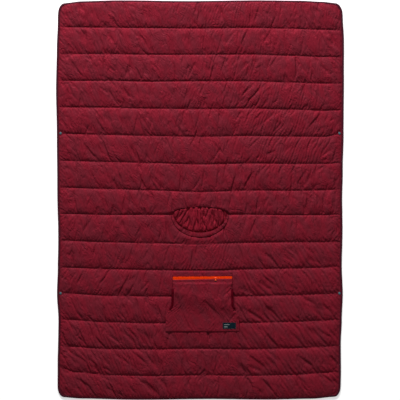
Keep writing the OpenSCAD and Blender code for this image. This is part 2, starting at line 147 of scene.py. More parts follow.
def waves(length, wavelength):
    """Random smooth line from -1 to 1 for points that are evenly spread along length."""
    count = len(length)
    return patches((2, count), (1, max(1, int(np.ptp(length) / wavelength))))[0]


def make_piece(name, points, faces, materials, face_material=None, smooth=True):
    """Mesh object from points in millimetres and groups of faces; a third group is a wall with sharp edges."""
    mesh = bpy.data.meshes.new(name)
    points = np.asarray(points, np.float32).reshape(-1, 3)
    groups = [np.asarray(f, np.int32) for f in (faces if isinstance(faces, list) else [faces])]
    groups = [g for g in groups if len(g)]
    corners = np.concatenate([g.ravel() for g in groups])
    sizes = np.concatenate([np.full(len(g), g.shape[1], np.int32) for g in groups])
    mesh.vertices.add(len(points))
    mesh.vertices.foreach_set("co", (points * MM).ravel())
    mesh.loops.add(len(corners))
    mesh.loops.foreach_set("vertex_index", corners)
    mesh.polygons.add(len(sizes))
    mesh.polygons.foreach_set("loop_start", np.concatenate([[0], np.cumsum(sizes)[:-1]]).astype(np.int32))
    mesh.polygons.foreach_set("loop_total", sizes)
    mesh.update(calc_edges=True)
    mesh.validate()
    for material in materials:
        mesh.materials.append(material)
    if face_material is not None:
        mesh.polygons.foreach_set("material_index", np.asarray(face_material, np.int32))
    flags = np.concatenate([np.full(len(g), smooth and i < 2) for i, g in enumerate(groups)])
    mesh.polygons.foreach_set("use_smooth", flags)
    obj = bpy.data.objects.new(name, mesh)
    bpy.context.scene.collection.objects.link(obj)
    return obj


def grid_faces(rows, columns, start=0, closed=False):
    """Quads of a grid of rows times columns points; closed joins the last row to the first."""
    index = np.arange(rows * columns).reshape(rows, columns) + start
    if closed:
        index = np.vstack([index, index[:1]])
    return np.stack([index[:-1, :-1], index[:-1, 1:], index[1:, 1:], index[1:, :-1]], -1).reshape(-1, 4)


# ---------------------------------------------------------------- camera, light and floor

def add_camera():
    """Straight above the blanket, from far away, so that its length fills the picture."""
    distance, sensor = 6.0, 36.0
    data = bpy.data.cameras.new("camera")
    data.sensor_width = sensor
    data.lens = sensor * distance / (2 * HALF_L * MM * 1.001)
    camera = bpy.data.objects.new("camera", data)
    camera.location = (0, 0, distance)
    bpy.context.scene.collection.objects.link(camera)
    bpy.context.scene.camera = camera


def add_light(name, place, size, power, color=(1, 1, 1)):
    data = bpy.data.lights.new(name, "AREA")
    data.shape = "RECTANGLE"
    data.size, data.size_y = size
    data.energy = power
    data.color = color
    light = bpy.data.objects.new(name, data)
    light.location = place
    aim = np.array(place, float)
    light.rotation_euler = (
        math.atan2(math.hypot(aim[0], aim[1]), aim[2]), 0, math.atan2(aim[1], aim[0]) + math.pi / 2)
    bpy.context.scene.collection.objects.link(light)


def add_studio():
    add_camera()
    add_light("key", (-0.8, 5.8, 2.75), (3.4, 0.9), 590)
    add_light("fill", (0.8, -2.0, 4.5), (4.0, 4.0), 24)
    world = bpy.data.worlds.new("studio")
    world.use_nodes = True
    background = world.node_tree.nodes["Background"]
    background.inputs["Color"].default_value = (1.0, 1.0, 1.0, 1)
    background.inputs["Strength"].default_value = 0.12
    bpy.context.scene.world = world
    bpy.context.scene.view_settings.view_transform = "Standard"
    floor = bpy.data.materials.new("pale_floor")
    floor.use_nodes = True
    shader = floor.node_tree.nodes["Principled BSDF"]
    shader.inputs["Base Color"].default_value = (0.93, 0.93, 0.93, 1)
    shader.inputs["Roughness"].default_value = 0.9
    shader.inputs["Emission Color"].default_value = (1, 1, 1, 1)
    shader.inputs["Emission Strength"].default_value = 0.5
    far = 20000
    ground = make_piece("floor", [(-far, -far, 0), (far, -far, 0), (far, far, 0), (-far, far, 0)],
                        np.array([[0, 1, 2, 3]]), [floor])


# ---------------------------------------------------------------- materials

class Nodes:
    """Short way to build one material's node tree."""

    def __init__(self, name):
        self.material = bpy.data.materials.new(name)
        self.material.use_nodes = True
        self.tree = self.material.node_tree
        self.shader = self.tree.nodes["Principled BSDF"]
        coordinates = self.tree.nodes.new("ShaderNodeTexCoord")
        self.place = coordinates.outputs["Object"]

    def add(self, kind, settings=None, **inputs):
        node = self.tree.nodes.new(kind)
        for key, value in (settings or {}).items():
            setattr(node, key, value)
        for key, value in inputs.items():
            self.feed(node.inputs[key.replace("_", " ")], value)
        return node

    def feed(self, socket, value):
        if isinstance(value, bpy.types.NodeSocket):
            self.tree.links.new(value, socket)
        else:
            socket.default_value = value

    def set(self, **inputs):
        for key, value in inputs.items():
            self.feed(self.shader.inputs[key.replace("_", " ")], value)

    def stretched(self, x, y, z):
        """The object's coordinates, scaled."""
        node = self.add("ShaderNodeMapping", Vector=self.place)
        node.inputs["Scale"].default_value = (x, y, z)
        return node.outputs["Vector"]

    def noise(self, vector, scale, detail=2.0, rough=0.5, distortion=0.0):
        node = self.add("ShaderNodeTexNoise", Vector=vector, Scale=scale, Detail=detail,
                        Roughness=rough, Distortion=distortion)
        return node.outputs["Fac"]

    def math(self, operation, a, b=0.0):
        node = self.add("ShaderNodeMath", {"operation": operation})
        self.feed(node.inputs[0], a)
        self.feed(node.inputs[1], b)
        return node.outputs[0]

    def blend(self, factor, a, b):
        """Colour a where factor is 0 and b where it is 1."""
        node = self.add("ShaderNodeMix", {"data_type": "RGBA"})
        self.feed(node.inputs["Factor"], factor)
        self.feed(node.inputs[6], a)
        self.feed(node.inputs[7], b)
        return node.outputs[2]

    def between(self, value, low, high, to_low=0.0, to_high=1.0):
        node = self.add("ShaderNodeMapRange", {"interpolation_type": "SMOOTHSTEP"}, Value=value)
        for key, number in zip(("From Min", "From Max", "To Min", "To Max"), (low, high, to_low, to_high)):
            node.inputs[key].default_value = number
        return node.outputs["Result"]

    def bump(self, height, distance, strength=1.0, under=None):
        node = self.add("ShaderNodeBump", Height=height, Distance=distance, Strength=strength)
        if under is not None:
            self.tree.links.new(under, node.inputs["Normal"])
        return node.outputs["Normal"]

    def weave(self, thread):
        """Height of a plain weave whose threads are that far apart, in metres, along X and Y."""
        turns = 2 * math.pi / (2 * thread)
        parts = self.add("ShaderNodeSeparateXYZ", Vector=self.place)
        across = self.math("SINE", self.math("MULTIPLY", parts.outputs["X"], turns))
        along = self.math("SINE", self.math("MULTIPLY", parts.outputs["Y"], turns))
        return self.math("MULTIPLY", across, along)


def rgba(red, green, blue):
    return (red, green, blue, 1)


def taffeta(name, base, deep, rough=0.48, crinkle=1.0):
    """Closely woven nylon with a satin face and fine creases pressed into it, its colour painted with long slanting
    streaks of sheen.
    """
    m = Nodes(name)
    turned = m.add("ShaderNodeMapping", Vector=m.place)
    turned.inputs["Rotation"].default_value = (0, 0, -0.4)
    # Painted sheen: long slanting streaks, turned like the creases, where the colour shifts from base towards deep, as
    # a satin's sheen looks; the fine flecks after them are random tone.
    painted_sheen_streaks = m.add("ShaderNodeMapping", Vector=turned.outputs["Vector"])
    painted_sheen_streaks.inputs["Scale"].default_value = (26, 9, 9)
    painted_sheen_streaks = m.noise(painted_sheen_streaks.outputs["Vector"], 1.0, 3, 0.55)
    fleck = m.noise(m.stretched(900, 160, 300), 1.0, 1, 0.5)
    painted_sheen_colour = m.blend(m.between(painted_sheen_streaks, 0.38, 0.62), base, deep)
    m.set(Base_Color=m.blend(m.between(fleck, 0.35, 0.75, 0, 0.3), painted_sheen_colour, deep))
    m.set(Roughness=m.between(m.noise(m.stretched(60, 25, 40), 1.0, 3), 0.25, 0.75, rough - 0.05, rough + 0.08))
    m.set(Metallic=0.08, Specular_IOR_Level=0.04, Specular_Tint=rgba(1.0, 0.22, 0.26))
    threads = m.bump(m.weave(0.00045), 0.00012, 0.25)
    sway = m.add("ShaderNodeTexNoise", Vector=m.place, Scale=9.0, Detail=1.0).outputs["Color"]
    shifted = m.add("ShaderNodeVectorMath", {"operation": "MULTIPLY_ADD"})
    m.feed(shifted.inputs[0], sway)
    shifted.inputs[1].default_value = (0.11, 0.03, 0.0)
    m.feed(shifted.inputs[2], turned.outputs["Vector"])
    for across, along, depth in ((30, 9, 0.0015), (62, 20, 0.0012), (125, 42, 0.0011)):
        scaled = m.add("ShaderNodeMapping", Vector=shifted.outputs[0])
        scaled.inputs["Scale"].default_value = (across, along, across)
        swell = m.noise(scaled.outputs["Vector"], 1.0, 1.0, 0.4)
        valley = m.math("ABSOLUTE", m.math("SUBTRACT", swell, 0.5))          # sharp along the line where swell is 0.5
        patchy = m.between(m.noise(m.stretched(across / 3, along / 2, 20), 1.0, 2), 0.36, 0.60)
        valley = m.between(valley, 0.0, 0.12)
        threads = m.bump(m.math("MULTIPLY", valley, patchy), depth * crinkle, 0.7, threads)
    small = m.noise(m.stretched(105, 42, 60), 1.0, 3, 0.6, 0.9)
    m.set(Normal=m.bump(small, 0.0026 * crinkle, 0.8, threads))
    return m.material


def make_materials():
    shell = taffeta("shell_taffeta", rgba(0.217, 0.0125, 0.0256), rgba(0.178, 0.0158, 0.0279))
    lining = taffeta("lining_taffeta", rgba(0.085, 0.012, 0.022), rgba(0.060, 0.008, 0.016), rough=0.5, crinkle=0.6)
    tape = Nodes("binding_grosgrain")
    ribs = tape.noise(tape.stretched(700, 700, 200), 1.0, 2)
    tape.set(Base_Color=tape.blend(tape.between(ribs, 0.3, 0.7), rgba(0.050, 0.0030, 0.0110),
                                   rgba(0.082, 0.0050, 0.0170)))
    tape.set(Roughness=0.6, Specular_IOR_Level=0.15, Normal=tape.bump(ribs, 0.0003, 0.6))
    # The hood is the shell's taffeta painted lighter, to offset the shade it lies in down in the neck opening.
    hood = taffeta("hood_taffeta_painted_lighter", rgba(0.262, 0.0125, 0.0270), rgba(0.208, 0.0125, 0.0246))

    def fibre(name, base, deep, rough, pitch=0.0006, strength=0.5, glow=0.0):
        """Thread or woven tape: a fine rib and an uneven colour. glow is a painted glow: light the part gives off so
        that it looks brighter than the lamps make it.
        """
        m = Nodes(name)
        uneven = m.noise(m.stretched(260, 260, 260), 1.0, 3)
        m.set(Base_Color=m.blend(m.between(uneven, 0.3, 0.7), base, deep), Roughness=rough, Specular_IOR_Level=0.2)
        m.set(Normal=m.bump(uneven, 0.0004, 0.4, m.bump(m.weave(pitch), 0.00018, strength)))
        m.set(Specular_Tint=base, Emission_Color=base, Emission_Strength=glow)
        return m.material

    snap = Nodes("painted_snap_metal")
    chips = snap.noise(snap.stretched(900, 900, 900), 1.0, 4, 0.6)
    worn = snap.between(chips, 0.62, 0.72)
    snap.set(Base_Color=snap.blend(worn, rgba(0.085, 0.20, 0.235), rgba(0.30, 0.32, 0.33)))
    snap.set(Metallic=0.55, Roughness=snap.between(chips, 0.3, 0.7, 0.3, 0.5), Normal=snap.bump(chips, 0.00006, 0.4))

    pull = Nodes("rubber_pull")
    parts = pull.add("ShaderNodeSeparateXYZ", Vector=pull.place)
    x0, x1, y0, y1, _, _ = span("zip_pull")
    tip = pull.between(parts.outputs["Y"], (y0 + 5.0) * MM, (y0 + 6.0) * MM)
    grain = pull.noise(pull.stretched(1500, 1500, 1500), 1.0, 3)
    ribs = pull.math("SINE", pull.math("MULTIPLY", parts.outputs["Y"], 2 * math.pi / 0.0016))
    pull.set(Base_Color=pull.blend(tip, rgba(0.012, 0.010, 0.014), rgba(0.92, 0.085, 0.006)), Roughness=0.5)
    pull.set(Normal=pull.bump(ribs, 0.0001, 0.3, pull.bump(grain, 0.00008, 0.5)))
    # Painted glow: the orange body gives off light so that it looks brighter than the lamps make it; the near-black tip
    # does not glow.
    pull.set(Emission_Color=pull.blend(tip, rgba(0, 0, 0), rgba(0.95, 0.10, 0.008)), Emission_Strength=0.3)

    slider = Nodes("painted_slider")
    rub = slider.noise(slider.stretched(700, 700, 700), 1.0, 4, 0.6)
    slider.set(Base_Color=slider.blend(slider.between(rub, 0.66, 0.76), rgba(0.85, 0.06, 0.006),
                                       rgba(0.30, 0.27, 0.25)))
    slider.set(Metallic=0.0, Roughness=slider.between(rub, 0.3, 0.7, 0.28, 0.45),
               Normal=slider.bump(rub, 0.00006, 0.4))

    opening = fibre("opening_tape_weave", rgba(0.105, 0.0015, 0.0080), rgba(0.070, 0.0010, 0.0055), 0.6, 0.0008)
    return {
        "opening": opening, "shell": shell, "lining": lining, "hood": hood, "tape": tape.material,
        "thread": fibre("dark_thread", rgba(0.060, 0.006, 0.012), rgba(0.095, 0.008, 0.016), 0.5),
        "thread_light": fibre("red_thread", rgba(0.56, 0.034, 0.060), rgba(0.44, 0.024, 0.044), 0.45),
        # The zip's tape and coil get a painted glow (the last number): they give off orange light so that they look
        # brighter than the lamps alone make them.
        "zip_tape": fibre("zip_tape_weave", rgba(0.98, 0.062, 0.004), rgba(0.72, 0.026, 0.002), 0.5, 0.0008, 0.7, 0.14),
        "zip_coil": fibre("zip_coil_nylon", rgba(0.98, 0.085, 0.006), rgba(0.80, 0.045, 0.003), 0.3, 0.0004, 0.1, 0.16),
        "label": fibre("label_ground", rgba(0.004, 0.014, 0.020), rgba(0.008, 0.022, 0.030), 0.7, 0.0007, 0.9),
        "label_bar": fibre("label_bar", rgba(0.34, 0.36, 0.36), rgba(0.24, 0.26, 0.26), 0.6, 0.0007, 0.9),
        "snap": snap.material, "pull": pull.material, "slider": slider.material}


# ---------------------------------------------------------------- cloth

def settle(points, ease_x, ease_y, lean, bed, bend, hold, held, steps=600, stiff=0.16, shear=0.08,
           damping=0.96):
    """Relaxes a grid of cloth that is longer than its frame, so that it buckles into wrinkles.

    ease_x and ease_y say how much longer the cloth is than the grid in plan, and lean shears it,
    which turns the wrinkles. bed is the height the fill pushes it to, hold how hard it does, bend
    the cloth's stiffness, and held marks the points that are sewn down.
    """
    p = points.astype(np.float32).copy()
    plan = p.copy()
    plan[..., 2] = 0
    grow_x, grow_y = (1 + ease_x)[..., None], (1 + ease_y)[..., None]
    step_x = (plan[:, 1:] - plan[:, :-1]) * grow_x[:, :-1]
    step_y = (plan[1:] - plan[:-1]) * grow_y[:-1]
    slant = step_y.copy()
    slant[..., 0] += np.abs(step_y[..., 1]) * lean[:-1]
    length = lambda v: np.linalg.norm(v, axis=-1, keepdims=True).astype(np.float32)
    rest_x, rest_y = length(step_x), length(step_y)
    rest_up = length(step_x[:-1] + slant[:, :-1])
    rest_down = length(slant[:, 1:] - step_x[:-1])
    free = (~held)[..., None].astype(np.float32)
    bed, hold, bend = (np.asarray(a, np.float32) for a in (bed, hold, bend))
    velocity, force = np.zeros_like(p), np.zeros_like(p)

    def tug(a, b, rest, strength, force_a, force_b):
        pull = b - a
        pull *= strength * (1 - rest / np.sqrt(np.einsum("ijk,ijk->ij", pull, pull))[..., None])
        force_a += pull
        force_b -= pull

    bend_x, bend_y = bend[:, 1:-1, None], bend[1:-1, :, None]
    for _ in range(steps):
        force[:] = 0
        tug(p[:, :-1], p[:, 1:], rest_x, stiff, force[:, :-1], force[:, 1:])
        tug(p[:-1], p[1:], rest_y, stiff, force[:-1], force[1:])
        tug(p[:-1, :-1], p[1:, 1:], rest_up, shear, force[:-1, :-1], force[1:, 1:])
        tug(p[:-1, 1:], p[1:, :-1], rest_down, shear, force[:-1, 1:], force[1:, :-1])
        curl = bend_x * (p[:, :-2] - 2 * p[:, 1:-1] + p[:, 2:])
        force[:, 1:-1] += 2 * curl
        force[:, :-2] -= curl
        force[:, 2:] -= curl
        curl = bend_y * (p[:-2] - 2 * p[1:-1] + p[2:])
        force[1:-1] += 2 * curl
        force[:-2] -= curl
        force[2:] -= curl
        force[..., 2] += hold * (bed - p[..., 2])
        velocity = (velocity + force) * damping * free
        p += velocity
    return p.astype(float)


# ---------------------------------------------------------------- the quilt

COLUMNS, PER_CHANNEL = 469, 38       # grid of the face fabric, about 3 x 3.5 mm
ROWS = CHANNELS * PER_CHANNEL + 1    # row 0 lies at the front hem
EDGE_IN = 6.0                        # the fabrics end this far inside the binding's outer edge
SQUARE_X = 560.0                     # outside this the columns follow the rounded corners

# How far the long edges bow in from the straight, as (y, millimetres); the hems as (x, millimetres).
BOW_LEFT = [(-1000, 3), (-850, 3), (-600, 7), (-467, 0), (-330, 4), (-190, 6), (60, 1), (333, -1),
            (560, -5), (760, -1), (900, 4), (1000, 8)]
BOW_RIGHT = [(-1000, 13), (-850, 10), (-720, 11), (-600, 6), (-467, 1), (-330, 6), (-140, 2), (0, 4),
             (150, 1), (333, -3), (600, -5), (800, -5), (920, 1), (1000, 8)]
BOW_BACK = [(-715, 16), (-600, 6), (-400, 1), (-60, 5), (300, 1), (480, 3), (620, 8), (715, 16)]
BOW_FRONT = [(-715, 14), (-600, 7), (-300, 1), (60, 5), (330, 2), (560, 6), (715, 16)]

# How far each quilting seam strays from its nominal line, as (x, millimetres), counted from the back.
SEAM_DRIFT = {
    1: [(-690, -3), (-450, -5), (-250, -7), (0, -9), (250, -6), (450, -10), (620, -16), (690, -18)],
    2: [(-690, -4), (-450, -4), (-250, -7), (0, -7), (250, -6), (450, -12), (620, -18), (690, -19)],
    3: [(-690, -4), (-450, -4), (-250, -8), (0, -6), (250, -6), (450, -12), (620, -18), (690, -18)],
    4: [(-690, -3), (-450, -5), (-250, -10), (0, -12), (250, -9), (450, -14), (620, -20), (690, -18)],
    5: [(-690, -2), (-450, -8), (-250, -13), (0, -17), (250, -13), (450, -16), (620, -17), (690, -5)],
    6: [(-690, -4), (-450, -10), (-250, -15), (0, -22), (250, -17), (450, -19), (620, -19), (690, -16)],
    7: [(-690, -5), (-450, -12), (-250, -18), (0, -27), (250, -19), (450, -20), (620, -18), (690, -14)],
    8: [(-690, -3), (-450, -8), (-200, -7), (200, -6), (450, -9), (620, -9), (690, -6)],
    9: [(-690, -4), (-450, -11), (-250, -16), (0, -20), (250, -14), (450, -11), (620, -11), (690, -8)],
    10: [(-690, -4), (-450, -12), (-250, -16), (0, -22), (250, -13), (450, -9), (620, -5), (690, 0)],
    11: [(-690, 0), (-450, -12), (-250, -15), (0, -16), (250, -14), (450, -9), (620, -4), (690, 0)],
    12: [(-690, 2), (-450, -11), (-250, -16), (0, -16), (250, -14), (450, -9), (620, -3), (690, 2)],
    13: [(-690, 2), (-450, -11), (-250, -13), (0, -10), (250, -13), (450, -8), (620, -1), (690, 4)],
    14: [(-690, 24), (-620, 6), (-450, -9), (-250, -13), (0, -9), (250, -12), (450, -8), (620, 2), (690, 8)],
}


def edge_x(y, side):
    """Half width of the fabrics at y, with the rounded corner; side 1 is the right edge."""
    bow = through(BOW_RIGHT if side > 0 else BOW_LEFT, y)
    centre, radius = HALF_W - CORNER_R, CORNER_R - EDGE_IN
    rise = np.clip(np.abs(y) - (HALF_L - CORNER_R), 0, radius)
    return centre + np.sqrt(radius ** 2 - rise ** 2) - bow


def seam_y(k, x):
    """Line of seam k; 0 and CHANNELS are the edges of the fabrics at the hems."""
    if k == 0:
        return HALF_L - EDGE_IN - through(BOW_BACK, x)
    if k == CHANNELS:
        return -HALF_L + EDGE_IN + through(BOW_FRONT, x)
    return HALF_L - k * PITCH + through(SEAM_DRIFT[k], x)


def neck_share(x, y, grow=0.0):
    """Distance from the middle of the neck oval as a share of its radius in that direction."""
    reach = np.where(y > NECK_Y, NECK_BACK, NECK_FRONT) + grow
    return np.hypot(x / (NECK_W + grow), (y - NECK_Y) / reach)


def plan_grid():
    """Points of the face fabric in plan, and where each row lies in its channel, from 0 to 1."""
    x0 = np.linspace(-HALF_W + EDGE_IN, HALF_W - EDGE_IN, COLUMNS)
    share = np.arange(PER_CHANNEL) / PER_CHANNEL
    share = 0.75 * share + 0.25 * (0.5 - 0.5 * np.cos(np.pi * share))
    y = np.zeros((ROWS, COLUMNS))
    within = np.zeros(ROWS)
    for k in range(CHANNELS, 0, -1):
        low, high = seam_y(k, x0), seam_y(k - 1, x0)
        first = (CHANNELS - k) * PER_CHANNEL
        y[first:first + PER_CHANNEL] = low + (high - low) * share[:, None]
        within[first:first + PER_CHANNEL] = share
    y[-1] = seam_y(0, x0)
    x = np.tile(x0, (ROWS, 1))
    outer = HALF_W - EDGE_IN - SQUARE_X
    for side in (-1, 1):
        reach = (edge_x(y, side) - SQUARE_X) / outer
        x = np.where(side * x > SQUARE_X, side * (SQUARE_X + (side * x - SQUARE_X) * reach), x)
    return x, y, within[:, None] * np.ones(COLUMNS)


def boundary_loop(faces):
    """Corner numbers round the single open edge of a mesh of quads, in the faces' own sense."""
    count = int(faces.max()) + 1
    start, end = faces.ravel(), np.roll(faces, -1, axis=1).ravel()
    alone = ~np.isin(start.astype(np.int64) * count + end, end.astype(np.int64) * count + start)
    follow = dict(zip(start[alone].tolist(), end[alone].tolist()))
    first = min(follow)
    loop = [first]
    while follow[loop[-1]] != first:
        loop.append(follow[loop[-1]])
    return loop


def lace(points, loop_a, loop_b):
    """Triangles that close the gap between two loops that run side by side."""
    start = int(np.argmin(np.linalg.norm(points[loop_b] - points[loop_a[0]], axis=1)))
    loop_b = loop_b[start:] + loop_b[:start]
    a, b = loop_a + loop_a[:1], loop_b + loop_b[:1]
    i = j = 0
    triangles = []
    while i < len(a) - 1 or j < len(b) - 1:
        far = np.inf
        to_a = np.sum((points[a[i + 1]] - points[b[j]]) ** 2) if i < len(a) - 1 else far
        to_b = np.sum((points[b[j + 1]] - points[a[i]]) ** 2) if j < len(b) - 1 else far
        if to_a <= to_b:
            triangles.append((a[i + 1], a[i], b[j]))
            i += 1
        else:
            triangles.append((a[i], b[j], b[j + 1]))
            j += 1
    return np.array(triangles)


def loft(within):
    """Share of the full loft across a channel."""
    return (1 - np.abs(2 * within - 1) ** 3.2) ** 0.75


def side_loft(x, y):
    """Loft that dies away towards the long edges and the hems."""
    taper = 48.0
    left, right = edge_x(y, -1), edge_x(y, 1)
    inward = np.minimum(right - x, x + left) - 7
    return np.clip(1 - np.clip(1 - inward / taper, 0, 1) ** 2.2, 0, 1) ** 0.7


def clear_of_neck(x, y):
    """0 at the edge of the neck opening, 1 once the fill has its full height."""
    share = neck_share(x, y)
    outside = np.hypot(x, y - NECK_Y) * (1 - 1 / np.maximum(share, 0.01))
    return ramp(outside, 0, 14)


def neck_rise(x, y):
    """How much higher than a seam the face's edge stands round the neck, over the hood and at the collar."""
    return 5.0 * ramp(np.abs(y - NECK_Y), 1, 15) * (1 - ramp(neck_share(x, y), 1.0, 2.0))


def clear_of_snaps(x, y):
    """0 at a snap, 1 from a little outside its cap."""
    near = np.full(np.shape(x), np.inf)
    for node in SNAP_CAPS:
        x0, x1, y0, y1, _, _ = span(node)
        near = np.minimum(near, np.hypot(x - (x0 + x1) / 2, y - (y0 + y1) / 2))
    return ramp(near, 7, 18)


def pocket_outline_distance(x, y):
    """How far inside the pocket's outline a point lies; negative outside."""
    x0, x1, y0, y1, _, _ = span("pocket_backing")
    top_x0, top_x1 = span("pocket_top_strip")[:2]
    flare = ramp(y, y0 + 120, y0 + 178)
    left, right = x0 + (top_x0 - x0) * flare, x1 + (top_x1 - x1) * flare
    return np.minimum(np.minimum(x - left, right - x), np.minimum(y - y0, y1 - y))


def crease(z, x, y, at, angle, size, depth, steep, gentle, curl):
    """Presses one crease into z: steep on one side, a long gentle facet on the other."""
    reach = size / 2 + 3 * gentle
    rows = np.where(np.abs(y[:, y.shape[1] // 2] - at[1]) < reach + 15)[0]
    columns = np.where(np.abs(x[0] - at[0]) < reach)[0]
    if not len(rows) or not len(columns):
        return
    window = np.s_[rows[0]:rows[-1] + 1, columns[0]:columns[-1] + 1]
    dx, dy = x[window] - at[0], y[window] - at[1]
    along = dx * math.cos(angle) + dy * math.sin(angle)
    off = dy * math.cos(angle) - dx * math.sin(angle) - curl * along ** 2
    fade = np.clip(1 - (2 * along / size) ** 2, 0, 1)
    z[window] -= depth * fade * np.where(off > 0, np.exp(-off / steep), np.exp(off / gentle))


def scatter_creases(z, x, y, heading, spread, chance, wide, count, long, deep, steep, gentle):
    """Presses many random creases into z. heading, spread, chance and wide are fields over the cloth:
    the creases' direction in radians, how far it strays, how likely one is and how much wider they are."""
    for _ in range(count):
        i, j = rng.integers(x.shape[0]), rng.integers(x.shape[1])
        draw, stray = rng.uniform(), rng.normal()
        size, depth = rng.uniform(*long), rng.uniform(*deep)
        side, curl = rng.choice([-1, 1]), rng.normal() * 0.0016
        if draw > chance[i, j]:
            continue
        turn = heading[i, j] + stray * spread[i, j] + (math.pi if side > 0 else 0)
        crease(z, x, y, (x[i, j], y[i, j]), turn, size * wide[i, j], depth,
               rng.uniform(*steep) * wide[i, j], rng.uniform(*gentle) * wide[i, j], curl)


def relax_face(x, y, within):
    """The face fabric over the fill, wrinkled as in the real blanket."""
    shape = x.shape
    row = np.arange(ROWS)[:, None] * np.ones(COLUMNS)
    channel = CHANNELS - row / PER_CHANNEL          # 0 at the back hem, 15 at the front hem
    across = x / HALF_W
    seam_row = (np.arange(ROWS) % PER_CHANNEL == 0)[:, None] & np.ones(COLUMNS, bool)
    hem = (row == 0) | (row == ROWS - 1)
    side = np.zeros(shape, bool)
    side[:, [0, 1, -2, -1]] = True
    side[[0, 1, -2, -1]] = True
    in_neck = neck_share(x, y) <= 1.0
    held = seam_row | side | in_neck
    full = loft(within) * side_loft(x, y) * clear_of_neck(x, y) * clear_of_snaps(x, y)
    lumps = patches(shape, (CHANNELS * 2, 18))
    seam_z = SEAM_TOP + neck_rise(x, y)
    bed = seam_z + (CROWN - seam_z + 1.1 * lumps) * full
    pocket = pocket_outline_distance(x, y)
    bed = np.where(pocket > -10, bed + (np.minimum(bed, 13.0) - bed) * ramp(pocket, -5, 6), bed)

    # Wide slanting drags at the lower right, short ones at the lower left, fine upright ones above.
    lower = ramp(channel, 8.0, 9.4)
    right, left = ramp(across, 0.12, 0.45), ramp(-across, 0.1, 0.5)
    drag = lower * right * (1 - ramp(channel, 14.2, 15.0))
    short = ramp(channel, 11.0, 11.8) * left
    upper_left = (1 - ramp(channel, 7.0, 9.0)) * left
    fans = right * ramp(channel, 3.0, 3.6) * (1 - ramp(channel, 5.8, 6.6)) * (1 - ramp(across, 0.85, 0.95))
    top_right = through([(0.1, 0), (0.25, -0.22), (0.45, -0.15), (0.6, 0.15), (0.9, 0.55)], across)
    top_right = top_right * (1 - ramp(channel, 3.0, 3.6))
    back_slant = left * ramp(channel, 9.6, 10.2) * (1 - ramp(channel, 10.8, 11.2))
    calm = ramp(channel, 8.0, 9.0) * (1 - ramp(channel, 9.8, 10.4)) * (1 - ramp(np.abs(across), 0.16, 0.3))
    tilt = 0.22 * patches(shape, (CHANNELS, 9)) + 0.85 * drag + 0.68 * short + 0.36 * upper_left
    tilt += -0.6 * fans - 0.55 * back_slant + top_right
    broad = np.clip(drag + 0.4 * short + 0.5 * lower * (1 - right) * (1 - left), 0, 1)
    heading = math.pi / 2 + tilt
    spread = 0.26 - 0.10 * drag - 0.05 * short
    amount = 0.62 - 0.35 * broad - 0.3 * calm + 0.25 * patches(shape, (CHANNELS, 8))
    amount = amount * (1 - ramp(pocket, -8, 4))
    creases, nicks, plain = np.zeros(shape), np.zeros(shape), np.ones(shape)
    scatter_creases(creases, x, y, heading, spread, amount * (1 - 0.6 * drag), 1 + 0.4 * broad, 1300,
                    (60, 130), (2.5, 6.5), (2.4, 3.6), (8, 18))
    scatter_creases(creases, x, y, heading, spread * 1.5, amount * (1 - 0.4 * drag), 1 + 0.3 * broad, 2600,
                    (25, 65), (1.0, 3.2), (2.2, 3.4), (5, 11))
    scatter_creases(creases, x, y, heading, 0.7 * spread, drag * (1 - ramp(pocket, -8, 4)), plain, 300,
                    (90, 180), (5.0, 9.0), (4, 7), (18, 32))
    scatter_creases(creases, x, y, heading, spread, short, plain, 420, (60, 120), (4.5, 8.0), (2.5, 4), (9, 16))
    near_seam = 0.35 + 0.65 * ramp(np.abs(2 * within - 1), 0.35, 0.8)
    scatter_creases(nicks, x, y, heading, spread * 1.5, near_seam * (1 - ramp(pocket, -8, 4)), plain, 7000,
                    (14, 46), (0.7, 2.4), (1.6, 2.6), (3.5, 9))
    beside = ramp(np.abs(x), HALF_W - 85, HALF_W - 55)
    scatter_creases(nicks, x, y, np.where(x > 0, 0.55, 2.6), 0.35 * plain, beside, plain, 7000,
                    (16, 40), (1.0, 3.0), (1.8, 2.8), (4, 8))
    creases = relief(creases, 14, -7.0, 2.2)
    bed += 0.55 * creases * full ** 1.1
    lean = 0.8 * (0.02 * patches(shape, (CHANNELS, 9)) + 0.10 * np.sin(tilt) * np.abs(np.sin(tilt)))
    ease_x = 0.032 + 0.020 * patches(shape, (CHANNELS, 14))
    ease_y = 0.024 + 0.010 * patches(shape, (CHANNELS * 2, 12))
    bend = 0.0005 * (0.0018 / 0.0005) ** broad
    hold = 0.0016 * (0.0013 / 0.0016) ** broad

    z = bed + rng.normal(0, 0.4, shape) * ~held
    pucker = 0.5 * waves(x[0], 18) + 0.6 * waves(x[0], 45)
    z = np.where(seam_row & ~hem, z + pucker[None, :] * 0.8, z)
    points = np.stack([x, y, z], -1)
    steps = 520
    settled = settle(points, ease_x, ease_y, lean, bed, bend, hold, held, steps)
    settled[..., 2] += 0.40 * creases * full + 0.8 * nicks * full ** 0.8
    settled[..., 2] = np.clip(settled[..., 2], 5.4, 26)
    press = ramp(pocket_outline_distance(settled[..., 0], settled[..., 1]), -3, 2)
    settled[..., 2] -= press * np.maximum(settled[..., 2] - 14.2, 0)
    return settled


